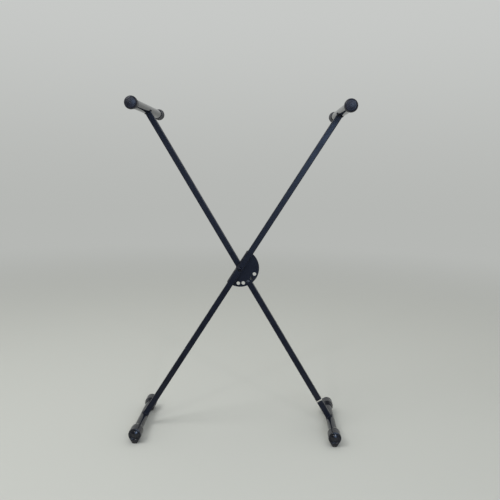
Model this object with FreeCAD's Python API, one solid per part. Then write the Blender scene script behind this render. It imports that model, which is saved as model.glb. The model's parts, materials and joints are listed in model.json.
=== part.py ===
"""Folding single-X keyboard stand, in millimetres.

Two crossed legs of square tube turn on one bolt. Each leg carries a round arm on top and a
round foot bar below. A half-moon plate on the front leg has a row of holes, and a spring
plunger on the rear leg drops into one of them to set the height.

+X is to the right, +Y is away from the viewer, +Z is up. The origin lies on the floor below
the pivot. The stand is drawn at its middle height.
"""
import FreeCAD, Part
import math
import os

Vec = FreeCAD.Vector
Y_AXIS = Vec(0, 1, 0)

# Legs.
LEG_SIZE = 15.0  # square tube, outside
LEG_WALL = 1.2
LEG_CORNER = 1.8  # outside corner radius
UPPER_LENGTH = 463.0  # pivot to arm axis
LOWER_LENGTH = 477.0  # pivot to foot bar axis
REST_OPENING = 63.0  # degrees between the lower halves of the legs

# Round cross-bars.
BAR_DIAMETER = 22.0
BAR_WALL = 1.2
ARM_LENGTH = 345.0  # overall, over both caps
FOOT_LENGTH = 225.0  # overall, over both boots

# Rubber caps of the arms.
CAP_RADIUS = 15.0
CAP_LENGTH = 34.0
CAP_MOUTH_WALL = 0.9  # rubber left round the tube at the mouth
CAP_END_WALL = 5.0
CAP_EDGE = 6.0  # rounding of the end
CAP_CROWN = 1.4  # height of the end's crown
CAP_STRAIGHT = 3.0  # full-width part before the rounding

# Rubber boots of the foot bars.
BOOT_RADIUS = 16.0
BOOT_LENGTH = 42.0
BOOT_MOUTH_WALL = 1.1
BOOT_TAPER = 13.0  # length of the flare behind the mouth
BOOT_END_WALL = 6.0
BOOT_EDGE = 2.4  # rounding of the end
BOOT_CROWN = 1.2  # how far the domed middle of the end stands past its rim
BOOT_RING_WIDTH = 4.0  # sunk ring in the end, between the rounding and the domed middle
BOOT_RING_DEPTH = 2.1
SOLE_DROP = 23.0  # bar axis to floor
SOLE_ROUND = 8.5  # radius of the sole's lower edge
SOLE_FLAT = 0.8  # slice taken off the bottom of that radius
SOLE_BEVEL = 1.6  # bevel at both ends of the sole
SOLE_SETBACK = 0.6  # sole behind the rim of the end

# Half-moon selector plate.
PLATE_RADIUS = 49.0
PLATE_THICKNESS = 2.5
LIP_DEPTH = 11.0  # how far the bent lip reaches forward of the plate
LIP_GAP = 1.7  # between the lip and the side of the leg
LIP_BEND = 3.0  # outside bend radius
PLATE_EDGE = 0.4  # chamfer of the rim
LOCK_RADIUS = 40.0  # pivot to hole centre
LOCK_HOLE = 9.2
HOLE_STEP = 18.5  # degrees between height holes
HOLES_BELOW = 2  # height holes on the closed side of the middle one
HOLES_ABOVE = 2  # height holes on the open side
STOWED_OPENING = 4.0  # degrees, at the storage hole

# Pivot.
BOLT_DIAMETER = 6.0
BOLT_HEAD = 10.5
BOLT_HEAD_HEIGHT = 3.3
BOLT_SOCKET = 4.0  # across flats
BOLT_SOCKET_DEPTH = 2.0
BOLT_TAIL = 1.4  # thread past the nut
BOLT_BEVEL = 0.8
BOLT_CLEARANCE = 0.1  # radial, in the still pieces
BUSH_CLEARANCE = 0.05  # radial, the running fit
BUSH_WALL = 1.5
SLEEVE_WALL = 1.4
HEAD_WASHER = 12.0
HEAD_WASHER_THICKNESS = 1.0
SPACER_DIAMETER = 22.0
SPACER_THICKNESS = 0.95
TAIL_WASHER = 16.0
TAIL_WASHER_THICKNESS = 1.2
WASHER_BEVEL = 0.2
FACE_PLAY = 0.05  # between flat faces that turn on each other
NUT_FLATS = 10.0
NUT_HEIGHT = 5.4
NUT_COLLAR = 9.4  # diameter of the round top that holds the nylon ring
NUT_COLLAR_HEIGHT = 2.6
NUT_LIP = 0.7  # steel left round the nylon ring

# Spring plunger.
PIN_DIAMETER = 8.4
PIN_CLEARANCE = 0.05  # radial, in the barrel
PIN_STANDOFF = 0.3  # behind the plate as drawn
PIN_SHORT = 0.25  # locked tip to the plate's front face
PIN_NOSE = 1.0  # chamfer of the tip
PIN_PULL = 4.0  # pull from the drawn place to the stop
COLLAR_DIAMETER = 11.6
COLLAR_THICKNESS = 2.0
COLLAR_PLAY = 0.05
ROD_DIAMETER = 6.0
ROD_CLEARANCE = 0.1
NOSE_WALL = 1.3  # barrel wall inside the leg
CHAMBER_CLEARANCE = 0.4  # radial, round the collar
CHAMBER_WALL = 2.0
BARREL_FLOOR = 1.3
SPRING_WIRE = 0.9
SPRING_TURNS = 4
SPRING_DIAMETER = 9.2  # mean
SPRING_RESERVE = 0.5  # left of the spring's travel at the end of the pull
GLAND_DEPTH = 4.0
GLAND_HEAD = 2.0
GLAND_BEVEL = 0.4
KNOB_DIAMETER = 29.0
KNOB_THICKNESS = 13.0
KNOB_NECK = 16.0
KNOB_NECK_LENGTH = 3.0
KNOB_EDGE = 3.5
KNOB_CROWN = 1.0
KNOB_GAP = 0.35  # knob to gland when locked
KNOB_GRIP = 8.0  # rod length inside the knob
SCREW_DIAMETER = 3.0
SCREW_LENGTH = 8.0
SCREW_HEAD = 6.0
SCREW_HEAD_HEIGHT = 1.8
SCREW_SLOT = 0.9
SCREW_SEAT = 3.0  # depth of the recess in the knob

# Trim.
BAND_HEIGHT = 63.0  # above the foot bar axis, along the leg
BAND_WIDTH = 3.0
BAND_THICKNESS = 0.9
BAND_FIT = 0.05
WELD_LEG = 2.2  # side of a weld bead
PLATE_STITCH = 14.0  # length of a stitch weld
PLATE_STITCH_PLACE = 30.0  # pivot to stitch, along the leg

# Places that follow from the sizes.
lean = REST_OPENING / 2
bar_radius = BAR_DIAMETER / 2
half_leg = LEG_SIZE / 2
pivot_height = SOLE_DROP + LOWER_LENGTH * math.cos(math.radians(lean))
stack = PLATE_THICKNESS + SPACER_THICKNESS + FACE_PLAY
leg_a_rear = -stack / 2
leg_a_front = leg_a_rear - LEG_SIZE
leg_a_y = leg_a_rear - half_leg
leg_b_front = stack / 2
leg_b_rear = leg_b_front + LEG_SIZE
leg_b_y = leg_b_front + half_leg
plate_front = leg_a_rear
plate_rear = plate_front + PLATE_THICKNESS
lip_outside = half_leg + LIP_GAP + PLATE_THICKNESS

pin_tip = plate_rear + PIN_STANDOFF
lock_travel = PLATE_THICKNESS + PIN_STANDOFF - PIN_SHORT
chamber_front = leg_b_rear + BARREL_FLOOR
collar_front = chamber_front + lock_travel + COLLAR_PLAY
collar_rear = collar_front + COLLAR_THICKNESS
spring_length = (SPRING_TURNS + 1) * SPRING_WIRE + PIN_PULL + SPRING_RESERVE
gland_front = collar_rear + spring_length
barrel_rear = gland_front + GLAND_DEPTH
gland_rear = barrel_rear + GLAND_HEAD
knob_front = gland_rear + lock_travel + KNOB_GAP
knob_rear = knob_front + KNOB_THICKNESS
chamber_radius = COLLAR_DIAMETER / 2 + CHAMBER_CLEARANCE
nose_bore = PIN_DIAMETER / 2 + PIN_CLEARANCE
nose_radius = nose_bore + NOSE_WALL


def along_y(radius, y_from, y_to, x=0.0, z=0.0):
    """Return a round bar along Y."""
    return Part.makeCylinder(radius, y_to - y_from, Vec(x, y_from, z), Y_AXIS)


def tube_along_y(outer, inner, y_from, y_to, x=0.0, z=0.0):
    """Return a round tube along Y."""
    return along_y(outer, y_from, y_to, x, z).cut(along_y(inner, y_from, y_to, x, z))


def rounded_rectangle(width, depth, corner):
    """Return a closed wire in the XY plane, centred on the origin, with round corners."""
    x = width / 2
    y = depth / 2
    k = corner * (1 - math.sqrt(0.5))
    edges = [
        Part.LineSegment(Vec(corner - x, -y, 0), Vec(x - corner, -y, 0)),
        Part.Arc(Vec(x - corner, -y, 0), Vec(x - k, k - y, 0), Vec(x, corner - y, 0)),
        Part.LineSegment(Vec(x, corner - y, 0), Vec(x, y - corner, 0)),
        Part.Arc(Vec(x, y - corner, 0), Vec(x - k, y - k, 0), Vec(x - corner, y, 0)),
        Part.LineSegment(Vec(x - corner, y, 0), Vec(corner - x, y, 0)),
        Part.Arc(Vec(corner - x, y, 0), Vec(k - x, y - k, 0), Vec(-x, y - corner, 0)),
        Part.LineSegment(Vec(-x, y - corner, 0), Vec(-x, corner - y, 0)),
        Part.Arc(Vec(-x, corner - y, 0), Vec(k - x, k - y, 0), Vec(corner - x, -y, 0)),
    ]
    return Part.Wire([edge.toShape() for edge in edges])


def rounded_prism(width, depth, corner, z_from, z_to, y=0.0):
    """Return an upright prism with round corners."""
    prism = Part.Face(rounded_rectangle(width, depth, corner)).extrude(Vec(0, 0, z_to - z_from))
    prism.translate(Vec(0, y, z_from))
    return prism


def quarter_arc(start, end, centre):
    """Return the short arc from start to end round the centre, all in (radius, station)."""
    middle = ((start[0] + end[0]) / 2 - centre[0], (start[1] + end[1]) / 2 - centre[1])
    radius = math.hypot(start[0] - centre[0], start[1] - centre[1])
    scale = radius / math.hypot(*middle)
    via = (centre[0] + middle[0] * scale, centre[1] + middle[1] * scale)
    return Part.Arc(Vec(start[0], start[1], 0), Vec(via[0], via[1], 0), Vec(end[0], end[1], 0))


def crown_arc(radius, station, crown):
    """Return the shallow arc from (radius, station) to the axis, crown higher there."""
    ball = (radius * radius + crown * crown) / (2 * crown)
    half = math.asin(radius / ball) / 2
    via = Vec(ball * math.sin(half), station + crown - ball * (1 - math.cos(half)), 0)
    return Part.Arc(Vec(radius, station, 0), via, Vec(0, station + crown, 0))


def line(start, end):
    """Return a line between two (radius, station) points."""
    return Part.LineSegment(Vec(start[0], start[1], 0), Vec(end[0], end[1], 0))


def turned(edges, y_from, facing=1, x=0.0, z=0.0):
    """Turn a closed (radius, station) outline about Y; station 0 lies at y_from."""
    face = Part.Face(Part.Wire([edge.toShape() for edge in edges]))
    solid = face.revolve(Vec(0, 0, 0), Y_AXIS, 360)
    if facing < 0:
        solid.rotate(Vec(0, 0, 0), Vec(0, 0, 1), 180)
    solid.translate(Vec(x, y_from, z))
    return Part.Solid(solid.Shells[0]) if solid.ShapeType != "Solid" else solid


def ring_with_bevels(outer, inner, y_from, y_to, bevel=WASHER_BEVEL):
    """Return a washer whose outer edges are broken."""
    length = y_to - y_from
    points = [
        (inner, 0.0),
        (outer - bevel, 0.0),
        (outer, bevel),
        (outer, length - bevel),
        (outer - bevel, length),
        (inner, length),
    ]
    return turned([line(a, b) for a, b in zip(points, points[1:] + points[:1])], y_from)


def hexagon_along_y(flats, y_from, y_to):
    """Return a six-sided bar along Y."""
    corner = flats / math.sqrt(3)
    angles = [math.radians(60 * i) for i in range(7)]
    points = [Vec(corner * math.cos(a), y_from, corner * math.sin(a)) for a in angles]
    return Part.Face(Part.makePolygon(points)).extrude(Vec(0, y_to - y_from, 0))


def on_leg(shape, side):
    """Move a piece drawn round an upright leg at the origin to its place on the stand.

    The front leg leans to the right (side 1) and the rear leg to the left (side -1).
    """
    shape.rotate(Vec(0, 0, 0), Y_AXIS, side * lean)
    shape.translate(Vec(0, 0, pivot_height))
    return shape


def arm_place(side):
    """Return x and z of the arm axis of one leg."""
    angle = math.radians(lean)
    return side * UPPER_LENGTH * math.sin(angle), pivot_height + UPPER_LENGTH * math.cos(angle)


def foot_place(side):
    """Return x and z of the foot bar axis of one leg."""
    return -side * LOWER_LENGTH * math.sin(math.radians(lean)), SOLE_DROP


def leg_tube(y, side, holes):
    """Return a square leg, coped at both ends to sit on its round bars."""
    outside = rounded_prism(LEG_SIZE, LEG_SIZE, LEG_CORNER, -LOWER_LENGTH, UPPER_LENGTH, y)
    inside = rounded_prism(
        LEG_SIZE - 2 * LEG_WALL,
        LEG_SIZE - 2 * LEG_WALL,
        LEG_CORNER - LEG_WALL,
        -LOWER_LENGTH,
        UPPER_LENGTH,
        y,
    )
    reach = LEG_SIZE + BAR_DIAMETER
    cuts = [inside]
    for z in (-LOWER_LENGTH, UPPER_LENGTH):
        cuts.append(along_y(bar_radius, y - reach, y + reach, 0, z))
    for radius, z in holes:
        cuts.append(along_y(radius, y - reach, y + reach, 0, z))
    return on_leg(outside.cut(cuts), side)


def leg_welds(y, side):
    """Return the beads that close the joints between a leg and its two bars."""
    beads = []
    for z in (-LOWER_LENGTH, UPPER_LENGTH):
        wide = LEG_SIZE + 2 * WELD_LEG
        inner = z - math.copysign(bar_radius + WELD_LEG, z)
        block = rounded_prism(wide, wide, LEG_CORNER + WELD_LEG, min(z, inner), max(z, inner), y)
        shell = along_y(bar_radius + WELD_LEG, y - wide, y + wide, 0, z)
        tube = along_y(bar_radius, y - wide, y + wide, 0, z)
        leg = rounded_prism(LEG_SIZE, LEG_SIZE, LEG_CORNER, -LOWER_LENGTH, UPPER_LENGTH, y)
        beads.append(block.common(shell).cut([tube, leg]))
    return on_leg(Part.makeCompound(beads), side)


def bar(y, length, end_wall, place):
    """Return a round cross-bar whose ends stop inside the end walls of its rubber ends."""
    half = length / 2 - end_wall
    return tube_along_y(bar_radius, bar_radius - BAR_WALL, y - half, y + half, *place)


def arm_cap(y, facing, place):
    """Return a rubber cap that swells from its mouth to a rounded end."""
    mouth = bar_radius + CAP_MOUTH_WALL
    shoulder = CAP_LENGTH - CAP_CROWN - CAP_EDGE
    swell = shoulder - CAP_STRAIGHT
    floor = CAP_LENGTH - CAP_END_WALL
    edges = [
        line((bar_radius, 0), (mouth, 0)),
        line((mouth, 0), (CAP_RADIUS, swell)),
        line((CAP_RADIUS, swell), (CAP_RADIUS, shoulder)),
        quarter_arc(
            (CAP_RADIUS, shoulder),
            (CAP_RADIUS - CAP_EDGE, shoulder + CAP_EDGE),
            (CAP_RADIUS - CAP_EDGE, shoulder),
        ),
        crown_arc(CAP_RADIUS - CAP_EDGE, shoulder + CAP_EDGE, CAP_CROWN),
        line((0, CAP_LENGTH), (0, floor)),
        line((0, floor), (bar_radius, floor)),
        line((bar_radius, floor), (bar_radius, 0)),
    ]
    start = y + facing * (ARM_LENGTH / 2 - CAP_LENGTH)
    return turned(edges, start, facing, *place)


def sole_outline(inset):
    """Return the round body and its narrow sole in one outline, pulled in by inset."""
    body = BOOT_RADIUS - inset
    toe = SOLE_ROUND - inset
    toe_z = SOLE_ROUND - SOLE_FLAT - SOLE_DROP
    slope = math.asin((body - toe) / -toe_z)
    floor = SOLE_FLAT - SOLE_ROUND + inset
    flat = math.sqrt(toe * toe - floor * floor)
    body_touch = Vec(body * math.cos(slope), 0, -body * math.sin(slope))
    toe_touch = Vec(toe * math.cos(slope), 0, toe_z - toe * math.sin(slope))
    toe_end = Vec(flat, 0, toe_z + floor)
    middle = (-math.asin(-floor / toe) - slope) / 2
    toe_via = Vec(toe * math.cos(middle), 0, toe_z + toe * math.sin(middle))
    points = [toe_end, toe_via, toe_touch, body_touch]
    left = [Vec(-p.x, p.y, p.z) for p in points]
    edges = [
        Part.Arc(points[0], points[1], points[2]),
        Part.LineSegment(points[2], points[3]),
        Part.Arc(points[3], Vec(0, 0, body), left[3]),
        Part.LineSegment(left[3], left[2]),
        Part.Arc(left[2], left[1], left[0]),
        Part.LineSegment(left[0], points[0]),
    ]
    return Part.Wire([edge.toShape() for edge in edges])


def sole_body(y_from, y_to):
    """Return the sole with a bevel at both ends, round a bar axis at the origin."""
    stations = [
        (y_from, SOLE_BEVEL),
        (y_from + SOLE_BEVEL, 0.0),
        (y_to - SOLE_BEVEL, 0.0),
        (y_to, SOLE_BEVEL),
    ]
    wires = []
    for y, inset in stations:
        wire = sole_outline(inset)
        wire.translate(Vec(0, y, 0))
        wires.append(wire)
    return Part.makeLoft(wires, True, True)


def foot_boot(y, facing, place):
    """Return a rubber boot with a flared sleeve, a domed end in a sunk ring and a narrow sole."""
    mouth = bar_radius + BOOT_MOUTH_WALL
    shoulder = BOOT_LENGTH - BOOT_CROWN - BOOT_EDGE
    rim = shoulder + BOOT_EDGE
    floor = BOOT_LENGTH - BOOT_END_WALL
    rim_radius = BOOT_RADIUS - BOOT_EDGE
    ring_inner = rim_radius - BOOT_RING_WIDTH
    ring_floor = rim - BOOT_RING_DEPTH
    edges = [
        line((bar_radius, 0), (mouth, 0)),
        line((mouth, 0), (BOOT_RADIUS, BOOT_TAPER)),
        line((BOOT_RADIUS, BOOT_TAPER), (BOOT_RADIUS, shoulder)),
        quarter_arc((BOOT_RADIUS, shoulder), (rim_radius, rim), (rim_radius, shoulder)),
        line((rim_radius, rim), (ring_inner, ring_floor)),
        crown_arc(ring_inner, ring_floor, BOOT_CROWN + BOOT_RING_DEPTH),
        line((0, BOOT_LENGTH), (0, floor)),
        line((0, floor), (bar_radius, floor)),
        line((bar_radius, floor), (bar_radius, 0)),
    ]
    sleeve = turned(edges, 0.0)
    sole = sole_body(BOOT_TAPER, rim - SOLE_SETBACK)
    hollow = along_y(bar_radius, 0, floor)
    groove_tool = along_y(rim_radius, shoulder, BOOT_LENGTH)
    boot = sole.cut([hollow, groove_tool]).fuse(sleeve).removeSplitter()
    if facing < 0:
        boot.rotate(Vec(0, 0, 0), Vec(0, 0, 1), 180)
    boot.translate(Vec(place[0], y + facing * (FOOT_LENGTH / 2 - BOOT_LENGTH), place[1]))
    return boot


def height_openings():
    """Return the opening angles of the height holes, closed side first."""
    return [REST_OPENING + HOLE_STEP * i for i in range(-HOLES_BELOW, HOLES_ABOVE + 1)]


def selector_plate():
    """Return the half-moon plate with its bent lip and its holes."""
    far = PLATE_RADIUS + lip_outside
    lip_front = plate_front - LIP_DEPTH
    k = LIP_BEND * (1 - math.sqrt(0.5))
    inner = half_leg + LIP_GAP
    edges = [
        Part.LineSegment(Vec(far, plate_rear, 0), Vec(LIP_BEND - lip_outside, plate_rear, 0)),
        Part.Arc(
            Vec(LIP_BEND - lip_outside, plate_rear, 0),
            Vec(k - lip_outside, plate_rear - k, 0),
            Vec(-lip_outside, plate_rear - LIP_BEND, 0),
        ),
        Part.LineSegment(Vec(-lip_outside, plate_rear - LIP_BEND, 0), Vec(-lip_outside, lip_front, 0)),
        Part.LineSegment(Vec(-lip_outside, lip_front, 0), Vec(-inner, lip_front, 0)),
        Part.LineSegment(Vec(-inner, lip_front, 0), Vec(-inner, plate_front, 0)),
        Part.LineSegment(Vec(-inner, plate_front, 0), Vec(far, plate_front, 0)),
        Part.LineSegment(Vec(far, plate_front, 0), Vec(far, plate_rear, 0)),
    ]
    profile = Part.Face(Part.Wire([edge.toShape() for edge in edges]))
    sheet = profile.extrude(Vec(0, 0, 2 * far))
    sheet.translate(Vec(0, 0, -far))
    points = [
        (0.0, lip_front),
        (PLATE_RADIUS, lip_front),
        (PLATE_RADIUS, plate_rear - PLATE_EDGE),
        (PLATE_RADIUS - PLATE_EDGE, plate_rear),
        (0.0, plate_rear),
    ]
    disc = turned([line(a, b) for a, b in zip(points, points[1:] + points[:1])], 0.0)
    plate = sheet.common(disc)
    cuts = [along_y(BOLT_DIAMETER / 2 + BOLT_CLEARANCE, plate_front, plate_rear)]
    for opening in [STOWED_OPENING] + height_openings():
        x = LOCK_RADIUS * math.sin(math.radians(opening))
        z = -LOCK_RADIUS * math.cos(math.radians(opening))
        cuts.append(along_y(LOCK_HOLE / 2, plate_front, plate_rear, x, z))
    return on_leg(plate.cut(cuts), 1)


def plate_welds():
    """Return the two stitches in the corner between the plate and the front leg."""
    stitches = []
    for z in (-PLATE_STITCH_PLACE, PLATE_STITCH_PLACE):
        corner = Vec(half_leg, plate_front, z - PLATE_STITCH / 2)
        points = [
            corner,
            corner + Vec(WELD_LEG, 0, 0),
            corner + Vec(0, -WELD_LEG - LEG_CORNER, 0),
            corner + Vec(-LEG_CORNER, -LEG_CORNER, 0),
            corner + Vec(-LEG_CORNER, 0, 0),
            corner,
        ]
        wedge = Part.Face(Part.makePolygon(points)).extrude(Vec(0, 0, PLATE_STITCH))
        leg = rounded_prism(LEG_SIZE, LEG_SIZE, LEG_CORNER, z - LEG_SIZE, z + LEG_SIZE, leg_a_y)
        stitches.append(wedge.cut(leg))
    return on_leg(Part.makeCompound(stitches), 1)


def leg_band():
    """Return the thin band that is closed round the rear leg above its foot bar."""
    z = BAND_HEIGHT - LOWER_LENGTH
    inner = LEG_SIZE + 2 * BAND_FIT
    outer = inner + 2 * BAND_THICKNESS
    corner = LEG_CORNER + BAND_FIT
    top = z + BAND_WIDTH / 2
    low = z - BAND_WIDTH / 2
    sleeve = rounded_prism(outer, outer, corner + BAND_THICKNESS, low, top, leg_b_y)
    return on_leg(sleeve.cut(rounded_prism(inner, inner, corner, low, top, leg_b_y)), -1)


def pivot_bolt():
    """Return the button-head bolt, head to the front."""
    radius = BOLT_DIAMETER / 2
    head_rear = leg_a_front - HEAD_WASHER_THICKNESS
    head_front = head_rear - BOLT_HEAD_HEIGHT
    end = leg_b_rear + FACE_PLAY + TAIL_WASHER_THICKNESS + NUT_HEIGHT + NUT_COLLAR_HEIGHT + BOLT_TAIL
    dome = BOLT_HEAD_HEIGHT - BOLT_BEVEL
    ball = ((BOLT_HEAD / 2) ** 2 + dome**2) / (2 * dome)
    edges = [
        line((0, head_front), (0, end)),
        line((0, end), (radius - BOLT_BEVEL, end)),
        line((radius - BOLT_BEVEL, end), (radius, end - BOLT_BEVEL)),
        line((radius, end - BOLT_BEVEL), (radius, head_rear)),
        line((radius, head_rear), (BOLT_HEAD / 2, head_rear)),
        line((BOLT_HEAD / 2, head_rear), (BOLT_HEAD / 2, head_rear - BOLT_BEVEL)),
    ]
    half = math.asin(BOLT_HEAD / 2 / ball) / 2
    via = Vec(ball * math.sin(half), head_front + ball * (1 - math.cos(half)), 0)
    rim = Vec(BOLT_HEAD / 2, head_rear - BOLT_BEVEL, 0)
    edges.append(Part.Arc(rim, via, Vec(0, head_front, 0)))
    socket = hexagon_along_y(BOLT_SOCKET, head_front, head_front + BOLT_SOCKET_DEPTH)
    return raise_to_pivot(turned(edges, 0.0).cut(socket))


def raise_to_pivot(shape):
    """Move a piece drawn round the Y axis up to the pivot."""
    shape.translate(Vec(0, 0, pivot_height))
    return shape


def lock_nut():
    """Return the hexagon nut with the round collar that grips the nylon ring."""
    start = leg_b_rear + FACE_PLAY + TAIL_WASHER_THICKNESS
    top = start + NUT_HEIGHT
    body = hexagon_along_y(NUT_FLATS, start, top)
    corner = NUT_FLATS / math.sqrt(3)
    bevel = (corner - NUT_FLATS / 2) / 2
    points = [
        (0.0, start),
        (NUT_FLATS / 2, start),
        (corner, start + bevel),
        (corner, top - bevel),
        (NUT_FLATS / 2, top),
        (0.0, top),
    ]
    rounding = turned([line(a, b) for a, b in zip(points, points[1:] + points[:1])], 0.0)
    collar = along_y(NUT_COLLAR / 2, top, top + NUT_COLLAR_HEIGHT)
    seat = along_y(NUT_COLLAR / 2 - NUT_LIP, top, top + NUT_COLLAR_HEIGHT)
    bore = along_y(BOLT_DIAMETER / 2, start, top + NUT_COLLAR_HEIGHT)
    return raise_to_pivot(body.common(rounding).fuse(collar).cut([seat, bore]).removeSplitter())


def lock_nut_ring():
    """Return the nylon ring in the collar of the nut."""
    top = leg_b_rear + FACE_PLAY + TAIL_WASHER_THICKNESS + NUT_HEIGHT
    outer = NUT_COLLAR / 2 - NUT_LIP
    return raise_to_pivot(tube_along_y(outer, BOLT_DIAMETER / 2, top, top + NUT_COLLAR_HEIGHT))


def head_washer():
    """Return the washer under the bolt head."""
    inner = BOLT_DIAMETER / 2 + BOLT_CLEARANCE
    start = leg_a_front - HEAD_WASHER_THICKNESS
    return raise_to_pivot(ring_with_bevels(HEAD_WASHER / 2, inner, start, leg_a_front))


def crush_sleeve():
    """Return the sleeve that keeps the bolt from squeezing the front leg."""
    inner = BOLT_DIAMETER / 2 + BOLT_CLEARANCE
    start = leg_a_front + LEG_WALL
    return raise_to_pivot(tube_along_y(inner + SLEEVE_WALL, inner, start, leg_a_rear - LEG_WALL))


def pivot_spacer():
    """Return the nylon spacer between the plate and the rear leg."""
    inner = BOLT_DIAMETER / 2 + BOLT_CLEARANCE
    end = plate_rear + SPACER_THICKNESS
    return raise_to_pivot(ring_with_bevels(SPACER_DIAMETER / 2, inner, plate_rear, end))


def tail_washer():
    """Return the washer between the rear leg and the nut."""
    inner = BOLT_DIAMETER / 2 + BOLT_CLEARANCE
    start = leg_b_rear + FACE_PLAY
    end = start + TAIL_WASHER_THICKNESS
    return raise_to_pivot(ring_with_bevels(TAIL_WASHER / 2, inner, start, end))


def pivot_bush():
    """Return the nylon bush on which the rear leg turns."""
    inner = BOLT_DIAMETER / 2 + BUSH_CLEARANCE
    return raise_to_pivot(tube_along_y(inner + BUSH_WALL, inner, leg_b_front, leg_b_rear))


def on_plunger(shape):
    """Move a piece drawn round the Y axis to the plunger's place on the rear leg."""
    shape.translate(Vec(0, 0, -LOCK_RADIUS))
    return on_leg(shape, -1)


def plunger_barrel():
    """Return the barrel: a nose through the leg and a spring chamber behind it."""
    outer = chamber_radius + CHAMBER_WALL
    nose = along_y(nose_radius, leg_b_front, leg_b_rear)
    body = along_y(outer, leg_b_rear, barrel_rear)
    bore = along_y(nose_bore, leg_b_front, chamber_front)
    chamber = along_y(chamber_radius, chamber_front, barrel_rear)
    return on_plunger(nose.fuse(body).cut([bore, chamber]).removeSplitter())


def plunger_gland():
    """Return the plug that closes the spring chamber and guides the rod."""
    bore = ROD_DIAMETER / 2 + ROD_CLEARANCE
    plug = along_y(chamber_radius, gland_front, barrel_rear)
    head = ring_with_bevels(chamber_radius + CHAMBER_WALL, bore, barrel_rear, gland_rear, GLAND_BEVEL)
    return on_plunger(plug.cut(along_y(bore, gland_front, barrel_rear)).fuse(head).removeSplitter())


def plunger_pin():
    """Return the locking pin with its collar and the rod that the knob is fixed to."""
    radius = PIN_DIAMETER / 2
    rod_end = knob_front + KNOB_GRIP
    points = [
        (0.0, pin_tip),
        (radius - PIN_NOSE, pin_tip),
        (radius, pin_tip + PIN_NOSE),
        (radius, collar_front),
        (COLLAR_DIAMETER / 2, collar_front),
        (COLLAR_DIAMETER / 2, collar_rear),
        (ROD_DIAMETER / 2, collar_rear),
        (ROD_DIAMETER / 2, rod_end),
        (SCREW_DIAMETER / 2, rod_end),
        (SCREW_DIAMETER / 2, rod_end - screw_depth()),
        (0.0, rod_end - screw_depth()),
    ]
    return on_plunger(turned([line(a, b) for a, b in zip(points, points[1:] + points[:1])], 0.0))


def screw_depth():
    """Return how far the knob screw reaches into the rod."""
    return SCREW_LENGTH - (KNOB_THICKNESS - SCREW_SEAT - KNOB_GRIP)


def pull_knob():
    """Return the round knob with a neck, a finger rim and a recess for its screw."""
    outer = KNOB_DIAMETER / 2
    length = KNOB_THICKNESS - KNOB_CROWN
    edges = [
        line((0, 0), (KNOB_NECK / 2, 0)),
        line((KNOB_NECK / 2, 0), (KNOB_NECK / 2, KNOB_NECK_LENGTH)),
        line((KNOB_NECK / 2, KNOB_NECK_LENGTH), (outer - KNOB_EDGE / 2, KNOB_NECK_LENGTH)),
        line((outer - KNOB_EDGE / 2, KNOB_NECK_LENGTH), (outer, KNOB_NECK_LENGTH + KNOB_EDGE / 2)),
        line((outer, KNOB_NECK_LENGTH + KNOB_EDGE / 2), (outer, length - KNOB_EDGE)),
        quarter_arc(
            (outer, length - KNOB_EDGE),
            (outer - KNOB_EDGE, length),
            (outer - KNOB_EDGE, length - KNOB_EDGE),
        ),
        crown_arc(outer - KNOB_EDGE, length, KNOB_CROWN),
        line((0, KNOB_THICKNESS), (0, 0)),
    ]
    knob = turned(edges, knob_front)
    seat = knob_rear - SCREW_SEAT
    cuts = [
        along_y(ROD_DIAMETER / 2, knob_front, knob_front + KNOB_GRIP),
        along_y(SCREW_DIAMETER / 2, knob_front, seat),
        along_y(SCREW_HEAD / 2 + ROD_CLEARANCE, seat, knob_rear),
    ]
    return on_plunger(knob.cut(cuts))


def knob_screw():
    """Return the slotted screw in the knob's recess."""
    seat = knob_rear - SCREW_SEAT
    top = seat + SCREW_HEAD_HEIGHT
    shank = along_y(SCREW_DIAMETER / 2, seat - SCREW_LENGTH, seat)
    head = along_y(SCREW_HEAD / 2, seat, top)
    half = SCREW_SLOT / 2
    slot = Part.makeBox(SCREW_HEAD, half * 2, SCREW_SLOT, Vec(-SCREW_HEAD / 2, top - half * 2, -half))
    return on_plunger(head.fuse(shank).removeSplitter().cut(slot))


def helix_point(angle, radius, rise):
    """Return a point of the spring's centre line; the angle is in radians."""
    return Vec(radius * math.cos(angle), rise * angle / (2 * math.pi), radius * math.sin(angle))


def helix_direction(angle, radius, rise):
    """Return the unit direction of the spring's centre line."""
    slope = rise / (2 * math.pi)
    return Vec(-radius * math.sin(angle), slope, radius * math.cos(angle)).normalize()


def tangent_arc(start, end, apex):
    """Return the arc from start to end whose end tangents meet at the apex."""
    middle = (start + end) * 0.5
    half_chord = start.distanceToPoint(end) / 2
    height = middle.distanceToPoint(apex)
    sag = half_chord * math.tan(math.atan2(height, half_chord) / 2)
    return Part.Arc(start, middle + (apex - middle).normalize() * sag, end).toShape()


def biarc(start, along_start, end, along_end):
    """Return two tangent arcs between two points with given directions."""
    span = end - start
    both = along_start + along_end
    bend = 1 - along_start.dot(along_end)
    reach = span.dot(both)
    arm = (math.sqrt(reach * reach + 2 * bend * span.dot(span)) - reach) / (2 * bend)
    near = start + along_start * arm
    far = end - along_end * arm
    join = (near + far) * 0.5
    return [tangent_arc(start, join, near), tangent_arc(join, end, far)]


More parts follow.
